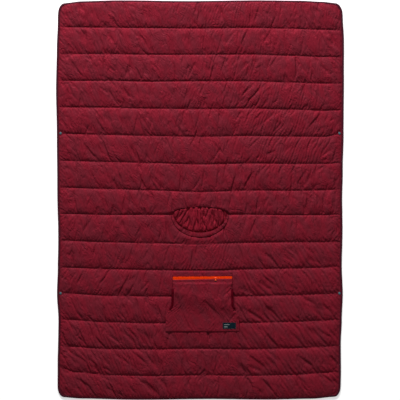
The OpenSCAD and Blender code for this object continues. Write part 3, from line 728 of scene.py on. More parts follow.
def relax_lining(x, y, within):
    """The lining under the fill: flat on the ground, lifted at the seams, pressed up by the hood."""
    hood_x1, hood_y0, hood_top = span("hood_hem")[1], span("hood_hem")[2], span("hood_hem")[5]
    lift = np.clip((np.abs(2 * within - 1) - 0.6) / 0.4, 0, 1) ** 1.6
    side = 1 - side_loft(x, y)
    hood = (1 - ramp(np.abs(x), hood_x1, hood_x1 + 14)) * ramp(y, hood_y0 - 14, hood_y0 + 2)
    hood *= 1 - ramp(y, FOLD_Y - 4, FOLD_Y + 6)
    neck = 1 - clear_of_neck(x, y) * clear_of_snaps(x, y)
    bed = SEAM_UNDER * np.maximum(np.maximum(lift, side), np.maximum(hood, neck))
    shape = x.shape
    held = np.zeros(shape, bool)
    held[::PER_CHANNEL // 2] = held[:, 0] = held[:, -1] = True
    held |= neck_share(x, y) <= 1.0
    ease_x = 0.035 + 0.02 * patches(shape, (CHANNELS, 9))
    ease_y = 0.02 + 0.015 * patches(shape, (CHANNELS, 9))
    lean = 0.05 * patches(shape, (CHANNELS, 7))
    z = bed + rng.normal(0, 0.3, shape) * ~held
    points = np.stack([x, y, z], -1)
    fields = [np.full(shape, v) for v in (0.003, 0.0008)]
    settled = settle(points, ease_x, ease_y, lean, bed, *fields, held, 250)
    floor = 0.05 + hood * (hood_top + 0.35)
    settled[..., 2] = np.clip(settled[..., 2], floor, np.maximum(SEAM_UNDER, floor) + 0.2)
    return settled


def snap_to_neck(points, faces, in_neck):
    """Moves the edge of the hole in a mesh onto the neck oval."""
    loop = [v for v in boundary_loop(faces) if in_neck[v]]
    edge = points[loop]
    share = neck_share(edge[:, 0], edge[:, 1])[:, None]
    middle = np.array([0, NECK_Y, 0])
    flat = (edge - middle) * [1, 1, 0] / np.maximum(share, 0.2)
    points[loop] = np.column_stack([(middle + flat)[:, :2], edge[:, 2]])


def half_mesh(name, face, lining, first, last, materials):
    """Closed mesh of one half of the quilt, from face row first to last."""
    sheets, loops, corners, start = [], [], [], 0
    for points, low, high in ((face, first, last), (lining, first // 2, last // 2)):
        part = points[low:high + 1]
        rows, columns = part.shape[:2]
        flat = part.reshape(-1, 3).copy()
        faces = grid_faces(rows, columns)
        centre = flat[faces].mean(axis=1)
        faces = faces[neck_share(centre[:, 0], centre[:, 1]) > 1.0]
        near = neck_share(flat[:, 0], flat[:, 1]) < 1.12
        snap_to_neck(flat, faces, near & (np.abs(flat[:, 1] - FOLD_Y) < NECK_FRONT + 20))
        sheets.append(flat)
        loops.append([v + start for v in boundary_loop(faces)])
        corners.append(faces + start)
        start += len(flat)
    points = np.concatenate(sheets)
    wall = lace(points, loops[0], loops[1])
    corners[1] = corners[1][:, ::-1]
    used = np.unique(np.concatenate([corners[0].ravel(), corners[1].ravel()]))
    number = np.zeros(len(points), int)
    number[used] = np.arange(len(used))
    groups = [number[corners[0]], number[corners[1]], number[wall]]
    index = np.concatenate([np.zeros(len(groups[0])), np.ones(len(groups[1])), np.zeros(len(groups[2]))])
    return make_piece(name, points[used], groups, materials, index)


def at_fold(piece):
    """Bakes the piece's placement into its mesh points."""
    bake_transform(piece)


def build_quilt(mats):
    x, y, within = plan_grid()
    face = relax_face(x, y, within)
    lining = relax_lining(x[::2, ::2], y[::2, ::2], within[::2, ::2])
    lining[0, :, 2] = lining[-1, :, 2] = lining[:, 0, 2] = lining[:, -1, 2] = SEAM_UNDER
    fold_row = (CHANNELS - FOLD_SEAM) * PER_CHANNEL
    parts = (("front", 0, fold_row, range(FOLD_SEAM + 1, CHANNELS + 1)),
             ("back", fold_row, ROWS - 1, range(1, FOLD_SEAM + 1)))
    for half, first, last, channels in parts:
        piece = half_mesh(f"quilt_{half}", face, lining, first, last, [mats["shell"], mats["lining"]])
        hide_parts(f"{half}_face_fabric", f"{half}_lining", *[f"fill_channel_{i:02d}" for i in channels])
        at_fold(piece)
    return face, lining


# ---------------------------------------------------------------- shapes made along a line

def even(line, step, closed=False):
    """The line again with points that are step apart."""
    line = np.asarray(line, float)
    if closed:
        line = np.vstack([line, line[:1]])
    run = np.concatenate([[0], np.cumsum(np.linalg.norm(np.diff(line, axis=0), axis=1))])
    count = max(2, int(round(run[-1] / step)) + 1)
    at = np.linspace(0, run[-1], count)
    return np.column_stack([np.interp(at, run, line[:, i]) for i in range(line.shape[1])])


def sideways(line):
    """Unit vectors in plan that point to the left of the line's run."""
    run = np.gradient(np.asarray(line, float)[:, :2], axis=0)
    run /= np.maximum(np.linalg.norm(run, axis=1, keepdims=True), 1e-9)
    return np.column_stack([-run[:, 1], run[:, 0]])


def skin_sections(sections, ring=False):
    """Points and faces of a closed tube through sections (count, corners, 3)."""
    count, corners = sections.shape[:2]
    points = sections.reshape(-1, 3)
    faces = []
    index = np.arange(count * corners).reshape(count, corners)
    wrapped = np.hstack([index, index[:, :1]])
    if ring:
        wrapped = np.vstack([wrapped, wrapped[:1]])
    quads = np.stack([wrapped[:-1, :-1], wrapped[1:, :-1], wrapped[1:, 1:], wrapped[:-1, 1:]], -1).reshape(-1, 4)
    if ring:
        return points, [quads]
    caps = [(index[0, 0], index[0, i + 1], index[0, i]) for i in range(1, corners - 1)]
    caps += [(index[-1, 0], index[-1, i], index[-1, i + 1]) for i in range(1, corners - 1)]
    return points, [quads, np.array(caps)]


def sweep(line, section, normal=None):
    """Sections of a profile (offset to the left, height) carried along a line."""
    line = np.asarray(line, float)
    left = sideways(line) if normal is None else normal
    section = np.asarray(section, float)
    if section.ndim == 2:
        section = np.broadcast_to(section, (len(line), *section.shape))
    plan = line[:, None, :2] + left[:, None, :] * section[..., :1]
    return np.concatenate([plan, line[:, None, 2:3] + section[..., 1:2]], -1)


def slab_between(top, bottom):
    """Points and faces of a closed sheet between two grids of the same size, top above bottom."""
    rows, columns = top.shape[:2]
    upper = grid_faces(rows, columns)
    lower = grid_faces(rows, columns, rows * columns)[:, ::-1]
    loop = boundary_loop(upper)
    ahead = loop[1:] + loop[:1]
    count = rows * columns
    wall = np.array([(b, a, a + count, b + count) for a, b in zip(loop, ahead)])
    return np.concatenate([top.reshape(-1, 3), bottom.reshape(-1, 3)]), [upper, lower, wall]


def stitch_points(line, spacing, length, width, height):
    """Stitches along a line of points: small ridged lozenges, as one array (count, 6, 3)."""
    line = np.asarray(line, float)
    run = np.concatenate([[0], np.cumsum(np.linalg.norm(np.diff(line, axis=0), axis=1))])
    if run[-1] < spacing:
        return np.zeros((0, 6, 3))
    at = np.arange(spacing / 2, run[-1] - spacing / 3, spacing)
    centre = np.column_stack([np.interp(at, run, line[:, i]) for i in range(3)])
    ahead = np.column_stack([np.interp(at + length / 2, run, line[:, i]) for i in range(3)]) - centre
    ahead /= np.maximum(np.linalg.norm(ahead, axis=1, keepdims=True), 1e-9)
    left = np.column_stack([-ahead[:, 1], ahead[:, 0], np.zeros(len(at))])
    up = np.array([0, 0, 1.0]) * np.sign(height)
    tall = abs(height)
    end, side = ahead * length / 2, left * width / 2
    return np.stack([centre - end - up * tall * 0.6, centre + side - up * 0.1 * tall, centre + end - up * tall * 0.6,
                     centre - side - up * 0.1 * tall, centre - end * 0.45 + up * tall, centre + end * 0.45 + up * tall], 1)


STITCH_FACES = np.array([(0, 4, 1), (1, 4, 5), (1, 5, 2), (2, 5, 3), (3, 5, 4), (3, 4, 0), (0, 1, 3), (1, 2, 3)])


def make_stitches(name, lines, material, spacing=4.2, length=3.0, width=0.75, height=0.45):
    blocks = [stitch_points(line, spacing, length, width, height) for line in lines if len(line) > 1]
    points = np.concatenate(blocks)
    faces = (STITCH_FACES[None] + 6 * np.arange(len(points))[:, None, None]).reshape(-1, 3)
    if height < 0:
        faces = faces[:, ::-1]
    piece = make_piece(name, points.reshape(-1, 3), faces, [material])
    return piece


# ---------------------------------------------------------------- binding round the edge

def rim_strips():
    """Middle line of the fabrics' edge, split at the fold: the back strip and the front strip."""
    face = FACE[..., :2]
    loop = np.concatenate([face[0, :], face[1:, -1], face[-1, -2::-1], face[-2:0:-1, 0]])
    loop = even(loop, 4.0, closed=True)[:-1]
    for _ in range(6):
        loop = (np.roll(loop, 1, 0) + 2 * loop + np.roll(loop, -1, 0)) / 4
    right = int(np.argmin(np.abs(loop[:, 1] - FOLD_Y) + 1e4 * (loop[:, 0] < 0)))
    loop = np.roll(loop, -right, 0)
    left = int(np.argmin(np.abs(loop[:, 1] - FOLD_Y) + 1e4 * (loop[:, 0] > 0)))
    loop[0, 1] = loop[left, 1] = FOLD_Y
    return {"back": loop[:left + 1], "front": np.vstack([loop[left:], loop[:1]])}


# The tape's section as (inwards from the fabrics' edge, height): round the edge and back inside it.
TAPE_SECTION = [(5.0, 7.0), (4.2, 7.75), (2.0, 7.9), (-1.0, 7.85), (-3.8, 7.5), (-5.4, 6.7), (-6.0, 5.5),
                (-5.4, 4.3), (-3.8, 3.5), (-1.0, 3.15), (2.0, 3.1), (4.2, 3.25), (5.0, 4.0),
                (4.2, 4.35), (-0.5, 4.3), (-4.2, 4.9), (-4.2, 6.1), (-0.5, 6.7), (4.2, 6.65)]


def build_binding():
    for half, line in rim_strips().items():
        count = len(line)
        run = np.arange(count) * 4.0
        normal = sideways(line)
        section = np.array(TAPE_SECTION)[None].repeat(count, 0)
        wide = 0.5 * waves(run, 60) + 0.35 * waves(run, 17)
        lift = 0.35 * waves(run, 22) + 0.25 * waves(run, 9)
        outer = (section[..., 0] < 0) * 1.0
        section[..., 0] += wide[:, None] * (1 - outer * 0.6)
        section[..., 1] += lift[:, None] * (section[..., 1] > 5.5)
        path = np.column_stack([line, np.zeros(count)])
        piece = make_piece(f"binding_{half}", *skin_sections(sweep(path, section, normal)), [MATS["tape"]])
        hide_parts(f"{half}_binding")
        at_fold(piece)
        inset = (2.9 + wide)[:, None] * normal
        rows = [np.column_stack([line + inset, 7.95 + lift]), np.column_stack([line + inset, np.full(count, 3.05)])]
        for side, row, height in (("top", rows[0], 0.35), ("under", rows[1], -0.35)):
            thread = make_stitches(f"binding_stitches_{half}_{side}", [row], MATS["thread"], height=height)
            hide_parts(f"{half}_binding_thread")
            at_fold(thread)


def build_quilt_stitches():
    """Rows of lockstitch in every quilting seam, on the face and on the lining."""
    for half in ("back", "front"):
        seams = range(1, FOLD_SEAM + 1) if half == "back" else range(FOLD_SEAM + 1, CHANNELS)
        for side, cloth, step in (("face", FACE, PER_CHANNEL), ("lining", LINING, PER_CHANNEL // 2)):
            lines = []
            for k in seams:
                row = cloth[(CHANNELS - k) * step].copy()
                row[:, 2] += 0.15 if side == "face" else -0.15
                keep = (np.abs(row[:, 0]) < HALF_W - 29) & (neck_share(row[:, 0], row[:, 1]) > 1.03)
                if side == "face":
                    keep &= pocket_outline_distance(row[:, 0], row[:, 1]) < -3
                else:
                    keep &= row[:, 2] < SEAM_UNDER + 0.1
                cuts = np.flatnonzero(np.diff(keep.astype(int))) + 1
                for part, on in zip(np.split(row, cuts), np.split(keep, cuts)):
                    if on[0] and len(part) > 3:
                        lines.append(part)
            height = 0.4 if side == "face" else -0.4
            piece = make_stitches(f"quilt_stitches_{half}_{side}", lines, MATS["thread"], height=height)
            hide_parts(f"{half}_quilt_threads")
            at_fold(piece)


# ---------------------------------------------------------------- neck collar and hood

def collar_width(depth):
    """Width of the collar where its share of the way from the ends to the front of the opening is depth."""
    return 6.0 + 19.0 * np.clip(depth, 0, 1) ** 0.7


def build_collar():
    """Padded band that stands along the front of the neck opening."""
    angle = np.linspace(math.pi, 2 * math.pi, 190)
    wide = collar_width(np.abs(np.sin(angle)))
    outer = np.column_stack([(NECK_W - 0.8) * np.cos(angle), NECK_Y + (NECK_FRONT - 0.8) * np.sin(angle)])
    inner = np.column_stack([(NECK_W - wide) * np.cos(angle), NECK_Y + (NECK_FRONT - wide) * np.sin(angle)])
    run = np.linspace(0, 400, len(angle))
    puff = 1 + 0.26 * waves(run, 23) + 0.22 * waves(run, 10)
    sag = 0.8 * waves(run, 40)
    across = np.array([0, 0.03, 0.1, 0.22, 0.36, 0.5, 0.64, 0.76, 0.84, 0.92, 0.98, 1.0])
    dome = np.array([6.0, 11.0, 12.6, 13.2, 13.6, 13.8, 13.7, 13.4, 12.6, 13.3, 12.6, 9.6])
    under = np.array([0.97, 0.85, 0.5, 0.15, 0.02])
    rise = ramp(np.abs(np.sin(angle)), 0.0, 0.35)
    sections = []
    for i in range(len(angle)):
        high = 6.0 + (dome - 6.0) * (0.45 + 0.55 * rise[i]) * puff[i] + sag[i] * (across > 0.05)
        top = outer[i] + (inner[i] - outer[i]) * across[:, None]
        low = outer[i] + (inner[i] - outer[i]) * under[:, None]
        section = np.column_stack([np.vstack([top, low]), np.concatenate([high, np.full(len(under), 5.6)])])
        sections.append(section)
    points, faces = skin_sections(np.array(sections)[:, ::-1])
    piece = make_piece("neck_collar_pad", points, faces, [MATS["shell"]])
    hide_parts("neck_collar")
    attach(piece, "front_half")
    sections = np.array(sections)
    rows = [sections[4:-4, 8] + [0, 0, 0.1], sections[4:-4, 1] + [0, 0, 0.3]]
    thread = make_stitches("collar_stitches", rows, MATS["thread"], spacing=3.6, length=2.5, width=0.6, height=0.3)
    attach(thread, "front_half")


def hood_outline(y):
    """Half width of the tucked hood at y."""
    x1, y0 = span("hood_hem")[1], span("hood_hem")[2]
    straight = span("hood_hem")[3] - 4
    depth = np.clip((straight - y) / (straight - y0), 0, 1)
    turn = np.arcsin(depth ** (1 / 0.8))
    return x1 * np.abs(np.cos(turn)) ** 0.7


def hood_cloth():
    """Top of the tucked hood as one grid: flat under the lining, gathered into deep folds in the opening.

    In the opening it bulges up from its seam at the back, then falls away forwards under the collar.
    """
    y0, top = span("hood_hem")[2] + 12, span("hood_hem")[5] - 0.3
    back = NECK_Y + NECK_BACK + 1.5
    y = np.concatenate([np.linspace(y0, NECK_Y - NECK_FRONT - 4, 36)[:-1],
                        np.linspace(NECK_Y - NECK_FRONT - 4, FOLD_Y, 61)[:-1], np.linspace(FOLD_Y, back, 21)])
    half = np.minimum(hood_outline(np.minimum(y, FOLD_Y)) - 9, NECK_W + 1.5)
    x = half[:, None] * np.linspace(-1, 1, 161)
    yy = y[:, None] + 0 * x
    shape = x.shape
    share = neck_share(x, yy)
    behind = ramp(yy, NECK_Y, NECK_Y + 12)
    radius = np.hypot(x, yy - NECK_Y) / np.maximum(share, 0.01)
    from_collar = radius * (1 - share) - collar_width(np.abs(yy - NECK_Y) / (NECK_FRONT * np.maximum(share, 0.01)))
    inside = ramp(from_collar, 2, 12) * (1 - behind) + (1 - ramp(share, 0.92, 1.03)) * behind
    fall = through([(NECK_Y - 90, 0.72), (NECK_Y - 50, 0.74), (NECK_Y, 0.9), (NECK_Y + 18, 1.0), (back, 0.85)], yy)
    ends = 1 - ramp(np.abs(x), 124, 138)
    gap = (1 - ramp(share, 0.80, 1.0)) * (1 - inside * ends) * (1 - behind)
    bed = top - 1.9 * gap + inside * (8.4 * fall * ends + 1.2 * patches(shape, (5, 12)))
    folds = np.zeros(shape)
    for count, long, deep, gentle in ((46, (50, 130), (3.0, 7.0), (4, 8)), (190, (20, 60), (1.0, 3.5), (2.5, 5))):
        for _ in range(count):
            place = (rng.uniform(-140, 140), rng.uniform(NECK_Y - 100, back))
            slant = -0.45 * ramp(-place[0], 20, 110) + 0.2 * rng.normal() + rng.choice([0, math.pi])
            crease(folds, x, yy, place, math.pi / 2 + slant, rng.uniform(*long), rng.uniform(*deep), 1.8,
                   rng.uniform(*gentle), rng.normal() * 0.002)
    # The cloth is drawn into a deep pocket at each end, with slanting folds beside the left one.
    for place, turn, size, deep, gentle in (((119, -88), 1.50, 66, 8, 11), ((-128, -98), 1.62, 70, 8, 6),
                                            ((-100, -80), 0.96, 66, 7, 9), ((-62, -100), 1.25, 60, 6, 5),
                                            ((-52, -120), 1.52, 70, 6, 5)):
        crease(folds, x, yy, place, turn, size, deep, 2.0, gentle, 0.001)
    folds = relief(folds, 9, -8.5, 3.0)
    bed += folds * inside
    held = inside < 0.02
    held[0] = held[-1] = held[:, 0] = held[:, -1] = True
    fields = [np.full(shape, v) for v in (0.0010, 0.0018)]
    points = np.stack([x, yy, bed + rng.normal(0, 0.3, shape) * ~held], -1)
    settled = settle(points, 0.12 * inside, 0.01 * inside, 0.03 * patches(shape, (3, 6)), bed, *fields, held,
                     400)
    groove = np.exp(-((np.abs(settled[..., 0] + 3) - 6.0) / 1.8) ** 2)
    settled[..., 2] += inside * (0.5 * folds - 3.5 * groove)
    settled[..., 2] = np.clip(settled[..., 2], 1.5, 3.9 + 9.4 * inside)
    return settled


def build_hood():
    cloth = hood_cloth()
    hem, seam = span("hood_hem"), span("hood_center_seam")
    middle = cloth.shape[1] // 2
    low = cloth.copy()
    low[..., 2] = 0.35 + 0.3 * (0.5 + 0.5 * np.sin(cloth[..., 0] / 9 + cloth[..., 1] / 23))
    back_rows = 15
    for name, part in (("left", np.s_[:-back_rows + 3, :middle + 1]), ("right", np.s_[:-back_rows + 3, middle:])):
        piece = make_piece(f"hood_gore_{name}", *slab_between(cloth[part], low[part]), [MATS["hood"]])
        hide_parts(f"hood_{name}_panel")
        at_fold(piece)
    part = np.s_[-back_rows:]
    piece = make_piece("hood_neck_gusset", *slab_between(cloth[part] + [0, 0, 0.12], low[part]), [MATS["hood"]])
    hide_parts("hood_neck_base")
    at_fold(piece)
    # The seam down the middle is a flat strip with a row of stitches on each side.
    line = cloth[:, middle]
    line = even(line, 2.5)
    inside = 1 - ramp(neck_share(line[:, 0], line[:, 1]), 0.68, 0.85)
    line[:, 0] += (1.0 * np.sin(line[:, 1] / 26) - 3.0) * inside
    near = cloth[:, middle - 6:middle + 7, 2].max(axis=1)
    level = np.interp(line[:, 1], cloth[:, middle, 1], near)
    level = np.convolve(np.pad(level, 6, mode="edge"), np.ones(13) / 13, "valid")
    line[:, 2] = 3.9 + inside * (level - 4.6 + 0.5 * waves(line[:, 1], 14))
    across = np.linspace(-1, 1, 11)
    strip = np.stack([line[:, None, 0] + across * seam[1], line[:, None, 1] + 0 * across,
                      line[:, None, 2] + inside[:, None] * (1.1 - 1.5 * across ** 4)], -1)
    base = strip.copy()
    base[..., 2] = 0.6
    piece = make_piece("hood_seam_strip", *slab_between(strip, base), [MATS["hood"]])
    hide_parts("hood_center_seam")
    at_fold(piece)
    rows = [strip[4:-2, 2] + [0, 0, 0.1], strip[4:-2, -3] + [0, 0, 0.1]]
    at_fold(make_stitches("hood_seam_stitches", rows, MATS["thread"], 3.6, 2.5, 0.6, 0.3))
    # The hem is a turned band round the hood's crown.
    turn = np.linspace(0.12, math.pi - 0.12, 150)
    straight = hem[3] - 4
    line = np.column_stack([hem[1] * np.sign(np.cos(turn)) * np.abs(np.cos(turn)) ** 0.7,
                            straight - (straight - hem[2]) * np.sin(turn) ** 0.8, np.zeros(len(turn))])
    line = even(line, 4.0)
    ripple = 0.25 * waves(np.arange(len(line)) * 4.0, 14)
    section = np.array([(-0.5, 0.6), (-0.6, 3.2), (-1.5, 3.9), (-6, 4.05), (-10, 3.9), (-11.3, 3.2), (-11.2, 0.7),
                        (-6, 0.4)])[None].repeat(len(line), 0)
    section[..., 1] += ripple[:, None] * (section[..., 1] > 3)
    piece = make_piece("hood_hem_band", *skin_sections(sweep(line, section)[:, ::-1]), [MATS["tape"]])
    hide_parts("hood_hem")
    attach(piece, "front_half")


# ---------------------------------------------------------------- hand pocket

def pocket_side(y, side):
    """Edge of the pocket at y: straight under the zip, flared towards its foot."""
    x0, x1, y0, _, _, _ = span("pocket_backing")
    top_x0, top_x1 = span("pocket_top_strip")[:2]
    flare = ramp(y, y0 + 72, y0 + 140)
    return x1 + (top_x1 - x1) * flare if side > 0 else x0 + (top_x0 - x0) * flare


def build_pocket():
    x0, x1, y0, y1, low, high = span("pocket_panel")
    welt_y = y1 - 12.5
    welt_z, full_z, foot_z = 19.9, high - 0.2, low + 1.0
    y = np.linspace(y0, y1, 88)
    u = np.linspace(0, 1, 118)
    left, right = pocket_side(y, -1), pocket_side(y, 1)
    x = left[:, None] + (right - left)[:, None] * u
    askew = (1.3 + 4.7 * u) * ramp(y, welt_y + 1, y1)[:, None]     # the zip's lower edge runs a little askew
    yy = y[:, None] + 0 * x
    side = np.minimum(x - left[:, None], right[:, None] - x)
    opening = ramp(yy, y0 + 104, y0 + 122) * (1 - ramp(yy, welt_y - 34, welt_y - 24))
    # From the zip down: flat welt, the ridge of its stitched seam, a bulge, a slanting fall and the foot.
    ridge = y0 + 172 - 0.18 * (x - (x0 + x1) / 2)
    bulge = high + 2.6
    rising = welt_z + 3.0 * (1 - ramp(yy, welt_y - 5.0, welt_y - 0.5))
    rising += (bulge - welt_z - 3.0) * np.clip((welt_y - yy) / (welt_y - ridge), 0, 1)
    falling = bulge - 10.6 * ramp(ridge - yy, -12, 92)
    body = np.where(yy > ridge, rising, falling) + 0.4 * patches(x.shape, (5, 6))
    foot = ramp(yy, y0 - 6, y0 + 10) ** 0.8
    sewn = ramp(side, -2, 11) ** 0.7
    beside = sewn + (0.82 - sewn) * opening * (sewn < 0.82)
    z = foot_z + (body - foot_z) * foot * beside
    z = z + (body - z) * ramp(yy, welt_y - 24, welt_y - 6)
    z = np.where(yy > welt_y, welt_z + 0.15 * np.sin(x / 11), z)
    dents = np.zeros(x.shape)
    # One deep slanting fold, a broad hollow beside it, short drags at the corners, fine upright ones at the top.
    for place, angle, size, depth, steep, gentle in (
            ((-77, -588), math.radians(-66), 125, 11.5, 2.2, 16), ((-48, -600), math.radians(112), 90, 3.6, 4, 14),
            ((62, -545), math.radians(-46), 125, 5.6, 7, 28), ((124, -568), math.radians(128), 70, 4.2, 5, 16),
            ((138, -460), math.radians(46), 50, 4.5, 2.2, 8), ((146, -496), math.radians(58), 50, 2.8, 3, 9),
            ((134, -440), math.radians(40), 50, 2.0, 2.5, 9), ((-112, -505), math.radians(108), 80, 2.2, 4, 12),
            ((-124, -585), math.radians(120), 70, 3.0, 3, 12), ((156, -590), math.radians(52), 70, 3.0, 3, 12),
            ((10, -600), math.radians(100), 90, 2.2, 4, 14), ((120, -590), math.radians(70), 60, 2.0, 4, 12),
            ((-10, -470), math.radians(88), 120, 1.6, 7, 20), ((-95, -440), math.radians(60), 60, 1.8, 3, 9)):
        crease(dents, x, yy, place, angle, size, depth, steep, gentle, 0.0008)
    for count, low_y, long, deep in ((40, y0, (25, 75), (0.3, 1.1)), (60, welt_y - 80, (25, 80), (0.3, 1.1))):
        for _ in range(count):
            place = (rng.uniform(x0, x1), rng.uniform(low_y, welt_y))
            turn = math.pi / 2 + rng.normal() * 0.22 + rng.choice([0, math.pi])
            crease(dents, x, yy, place, turn, rng.uniform(*long), rng.uniform(*deep), 2.5,
                   rng.uniform(5, 13), rng.normal() * 0.002)
    # Gathers along the sewn sides.
    for at in np.arange(y0 + 8, y0 + 112, 8.5):
        for edge, lean in ((pocket_side(at, -1) + 5, 2.6), (pocket_side(at, 1) - 5, 0.55)):
            crease(dents, x, yy, (edge, at + rng.uniform(-3, 3)), lean + rng.normal() * 0.25, rng.uniform(18, 34),
                   rng.uniform(1.5, 3.5), 1.8, rng.uniform(3, 6), 0)
    dents = relief(dents, 16, -8.0, 1.5)
    inner = np.clip((z - foot_z) / (full_z - foot_z), 0, 1) ** 0.6 * (yy < welt_y - 6)
    bed = z + dents * inner
    held = np.zeros(x.shape, bool)
    held[0] = held[-1] = held[:, 0] = held[:, -1] = True
    held |= yy > welt_y - 1
    points = np.stack([x, yy, bed + rng.normal(0, 0.2, x.shape) * ~held], -1)
    shape = x.shape
    settled = settle(points, 0.016 + 0.012 * patches(shape, (6, 8)), 0.012 + 0.01 * patches(shape, (6, 8)),
                     0.02 * patches(shape, (4, 5)), bed, np.full(shape, 0.0014), np.full(shape, 0.002), held,
                     300)
    settled[..., 2] += 0.4 * dents * inner
    settled[..., 1] += askew
    settled[..., 2] = np.clip(settled[..., 2], low + 0.9, high + 3.6)
    under = settled - [0, 0, 0.8]
    piece = make_piece("pocket_front", *slab_between(settled, under), [MATS["shell"]])
    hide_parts("pocket_panel")
    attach(piece, "front_half")
    # Binding of the two hand openings, gathered a little, on the panel's free edges.
    open_rows = np.flatnonzero((y > y0 + 108) & (y < welt_y - 30))
    for name, column, sign in (("left", 0, 1), ("right", -1, -1)):
        edge = even(settled[open_rows, column], 2.0)
        run = np.arange(len(edge)) * 2.0
        section = np.array([(-6.6, -0.6), (-5.8, 0.7), (-1.0, 1.5), (3.0, 1.4), (4.6, 0.9), (4.4, 0.25), (0.2, 0.25),
                            (0.1, -0.95), (4.4, -0.95), (4.6, -1.5), (3.0, -1.9), (-1.0, -1.9), (-5.8, -1.7)])
        section = section[None].repeat(len(edge), 0) * 1.0
        section[..., 1] += (0.45 * waves(run, 7) + 0.2 * waves(run, 16))[:, None]
        section[..., 0] += (0.9 * waves(run, 9))[:, None]
        section[..., 0] *= -sign
        ring = sweep(edge, section)
        if sign > 0:
            ring = ring[:, ::-1]
        tape = make_piece(f"hand_opening_tape_{name}", *skin_sections(ring), [MATS["opening"]])
        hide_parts(f"hand_binding_{name}")
        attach(tape, "front_half")
    # Backing cloth that closes the pocket towards the quilt.
    bx0, bx1, by0, by1, bz0, bz1 = span("pocket_backing")
    yb = np.linspace(by0 + 0.5, by1 - 0.5, 60)
    lb, rb = pocket_side(yb, -1) + 0.5, pocket_side(yb, 1) - 0.5
    xb = lb[:, None] + (rb - lb)[:, None] * np.linspace(0, 1, 60)
    top = np.stack([xb, yb[:, None] + 0 * xb, bz1 + 0.12 * np.sin(xb / 17 + yb[:, None] / 29)], -1)
    piece = make_piece("pocket_back_cloth", *slab_between(top, top - [0, 0, 0.5]), [MATS["shell"]])
    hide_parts("pocket_backing")
    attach(piece, "front_half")
    # Strip between the pocket's top seam and the zip, turned under along the zip.
    sx0, sx1, sy0, sy1, sz0, sz1 = span("pocket_top_strip")
    ys = np.linspace(sy0 - 0.6, sy1, 14)
    xs = np.linspace(sx0, sx1, 150)
    grid_x, grid_y = np.meshgrid(xs, ys)
    over = 4.4 - 1.8 * np.linspace(0, 1, len(xs))        # how far its lower edge lies over the zip's tape
    grid_y = grid_y - over * (1 - ramp(grid_y, sy0, sy1 - 4))
    up = ramp(grid_y, sy0 - 0.6, sy0 + 1.6)
    down = 1 - ramp(grid_y, sy1 - 9, sy1)
    wrinkle = 0.35 * patches(grid_x.shape, (2, 26)) + 0.25 * patches(grid_x.shape, (3, 50))
    zs = sz0 + 1.0 + (sz1 - sz0 - 1.2) * down + wrinkle * down
    top = np.stack([grid_x, grid_y + 0.5 * waves(xs, 40)[None] * (1 - up), zs], -1)
    lower = top.copy()
    lower[..., 2] = np.where(grid_y > sy0 + 5, np.maximum(sz0 + 0.1, top[..., 2] - 3.4), np.maximum(19.08, top[..., 2] - 0.8))
    piece = make_piece("pocket_yoke", *slab_between(top, lower), [MATS["shell"]])
    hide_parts("pocket_top_strip")
    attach(piece, "front_half")
    # Stitches: along both sides of the zip, down the sewn sides and the foot, with bartacks at the openings.
    welt_row = int(np.argmin(np.abs(y - (welt_y + 1.2))))
    rows = [settled[welt_row, 2:-2] + [0, 0, 0.15], top[2, 2:-2] + [0, 0, 0.15], settled[2, 3:-3] + [0, 0, 0.4]]
    side_rows = np.flatnonzero(y < y0 + 106)
    rows += [settled[side_rows[2:], 2] + [0, 0, 0.5], settled[side_rows[2:], -3] + [0, 0, 0.5]]
    threads = make_stitches("pocket_stitches", rows, MATS["thread_light"], 3.4, 2.4, 0.8, 0.35)
    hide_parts("pocket_threads")
    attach(threads, "front_half")
    tacks = []
    for row in (open_rows[0] - 1, open_rows[-1] + 1):
        for columns in (slice(0, 6), slice(-6, None)):
            base = settled[row, columns] + [0, 0, 0.5]
            for shift in np.linspace(-1.1, 1.1, 5):
                tacks.append(base + [0, shift, 0])
    piece = make_stitches("pocket_bartack_stitches", tacks, MATS["thread"], 1.6, 1.9, 0.55, 0.4)
    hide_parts("pocket_bartacks")
    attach(piece, "front_half")
    return settled


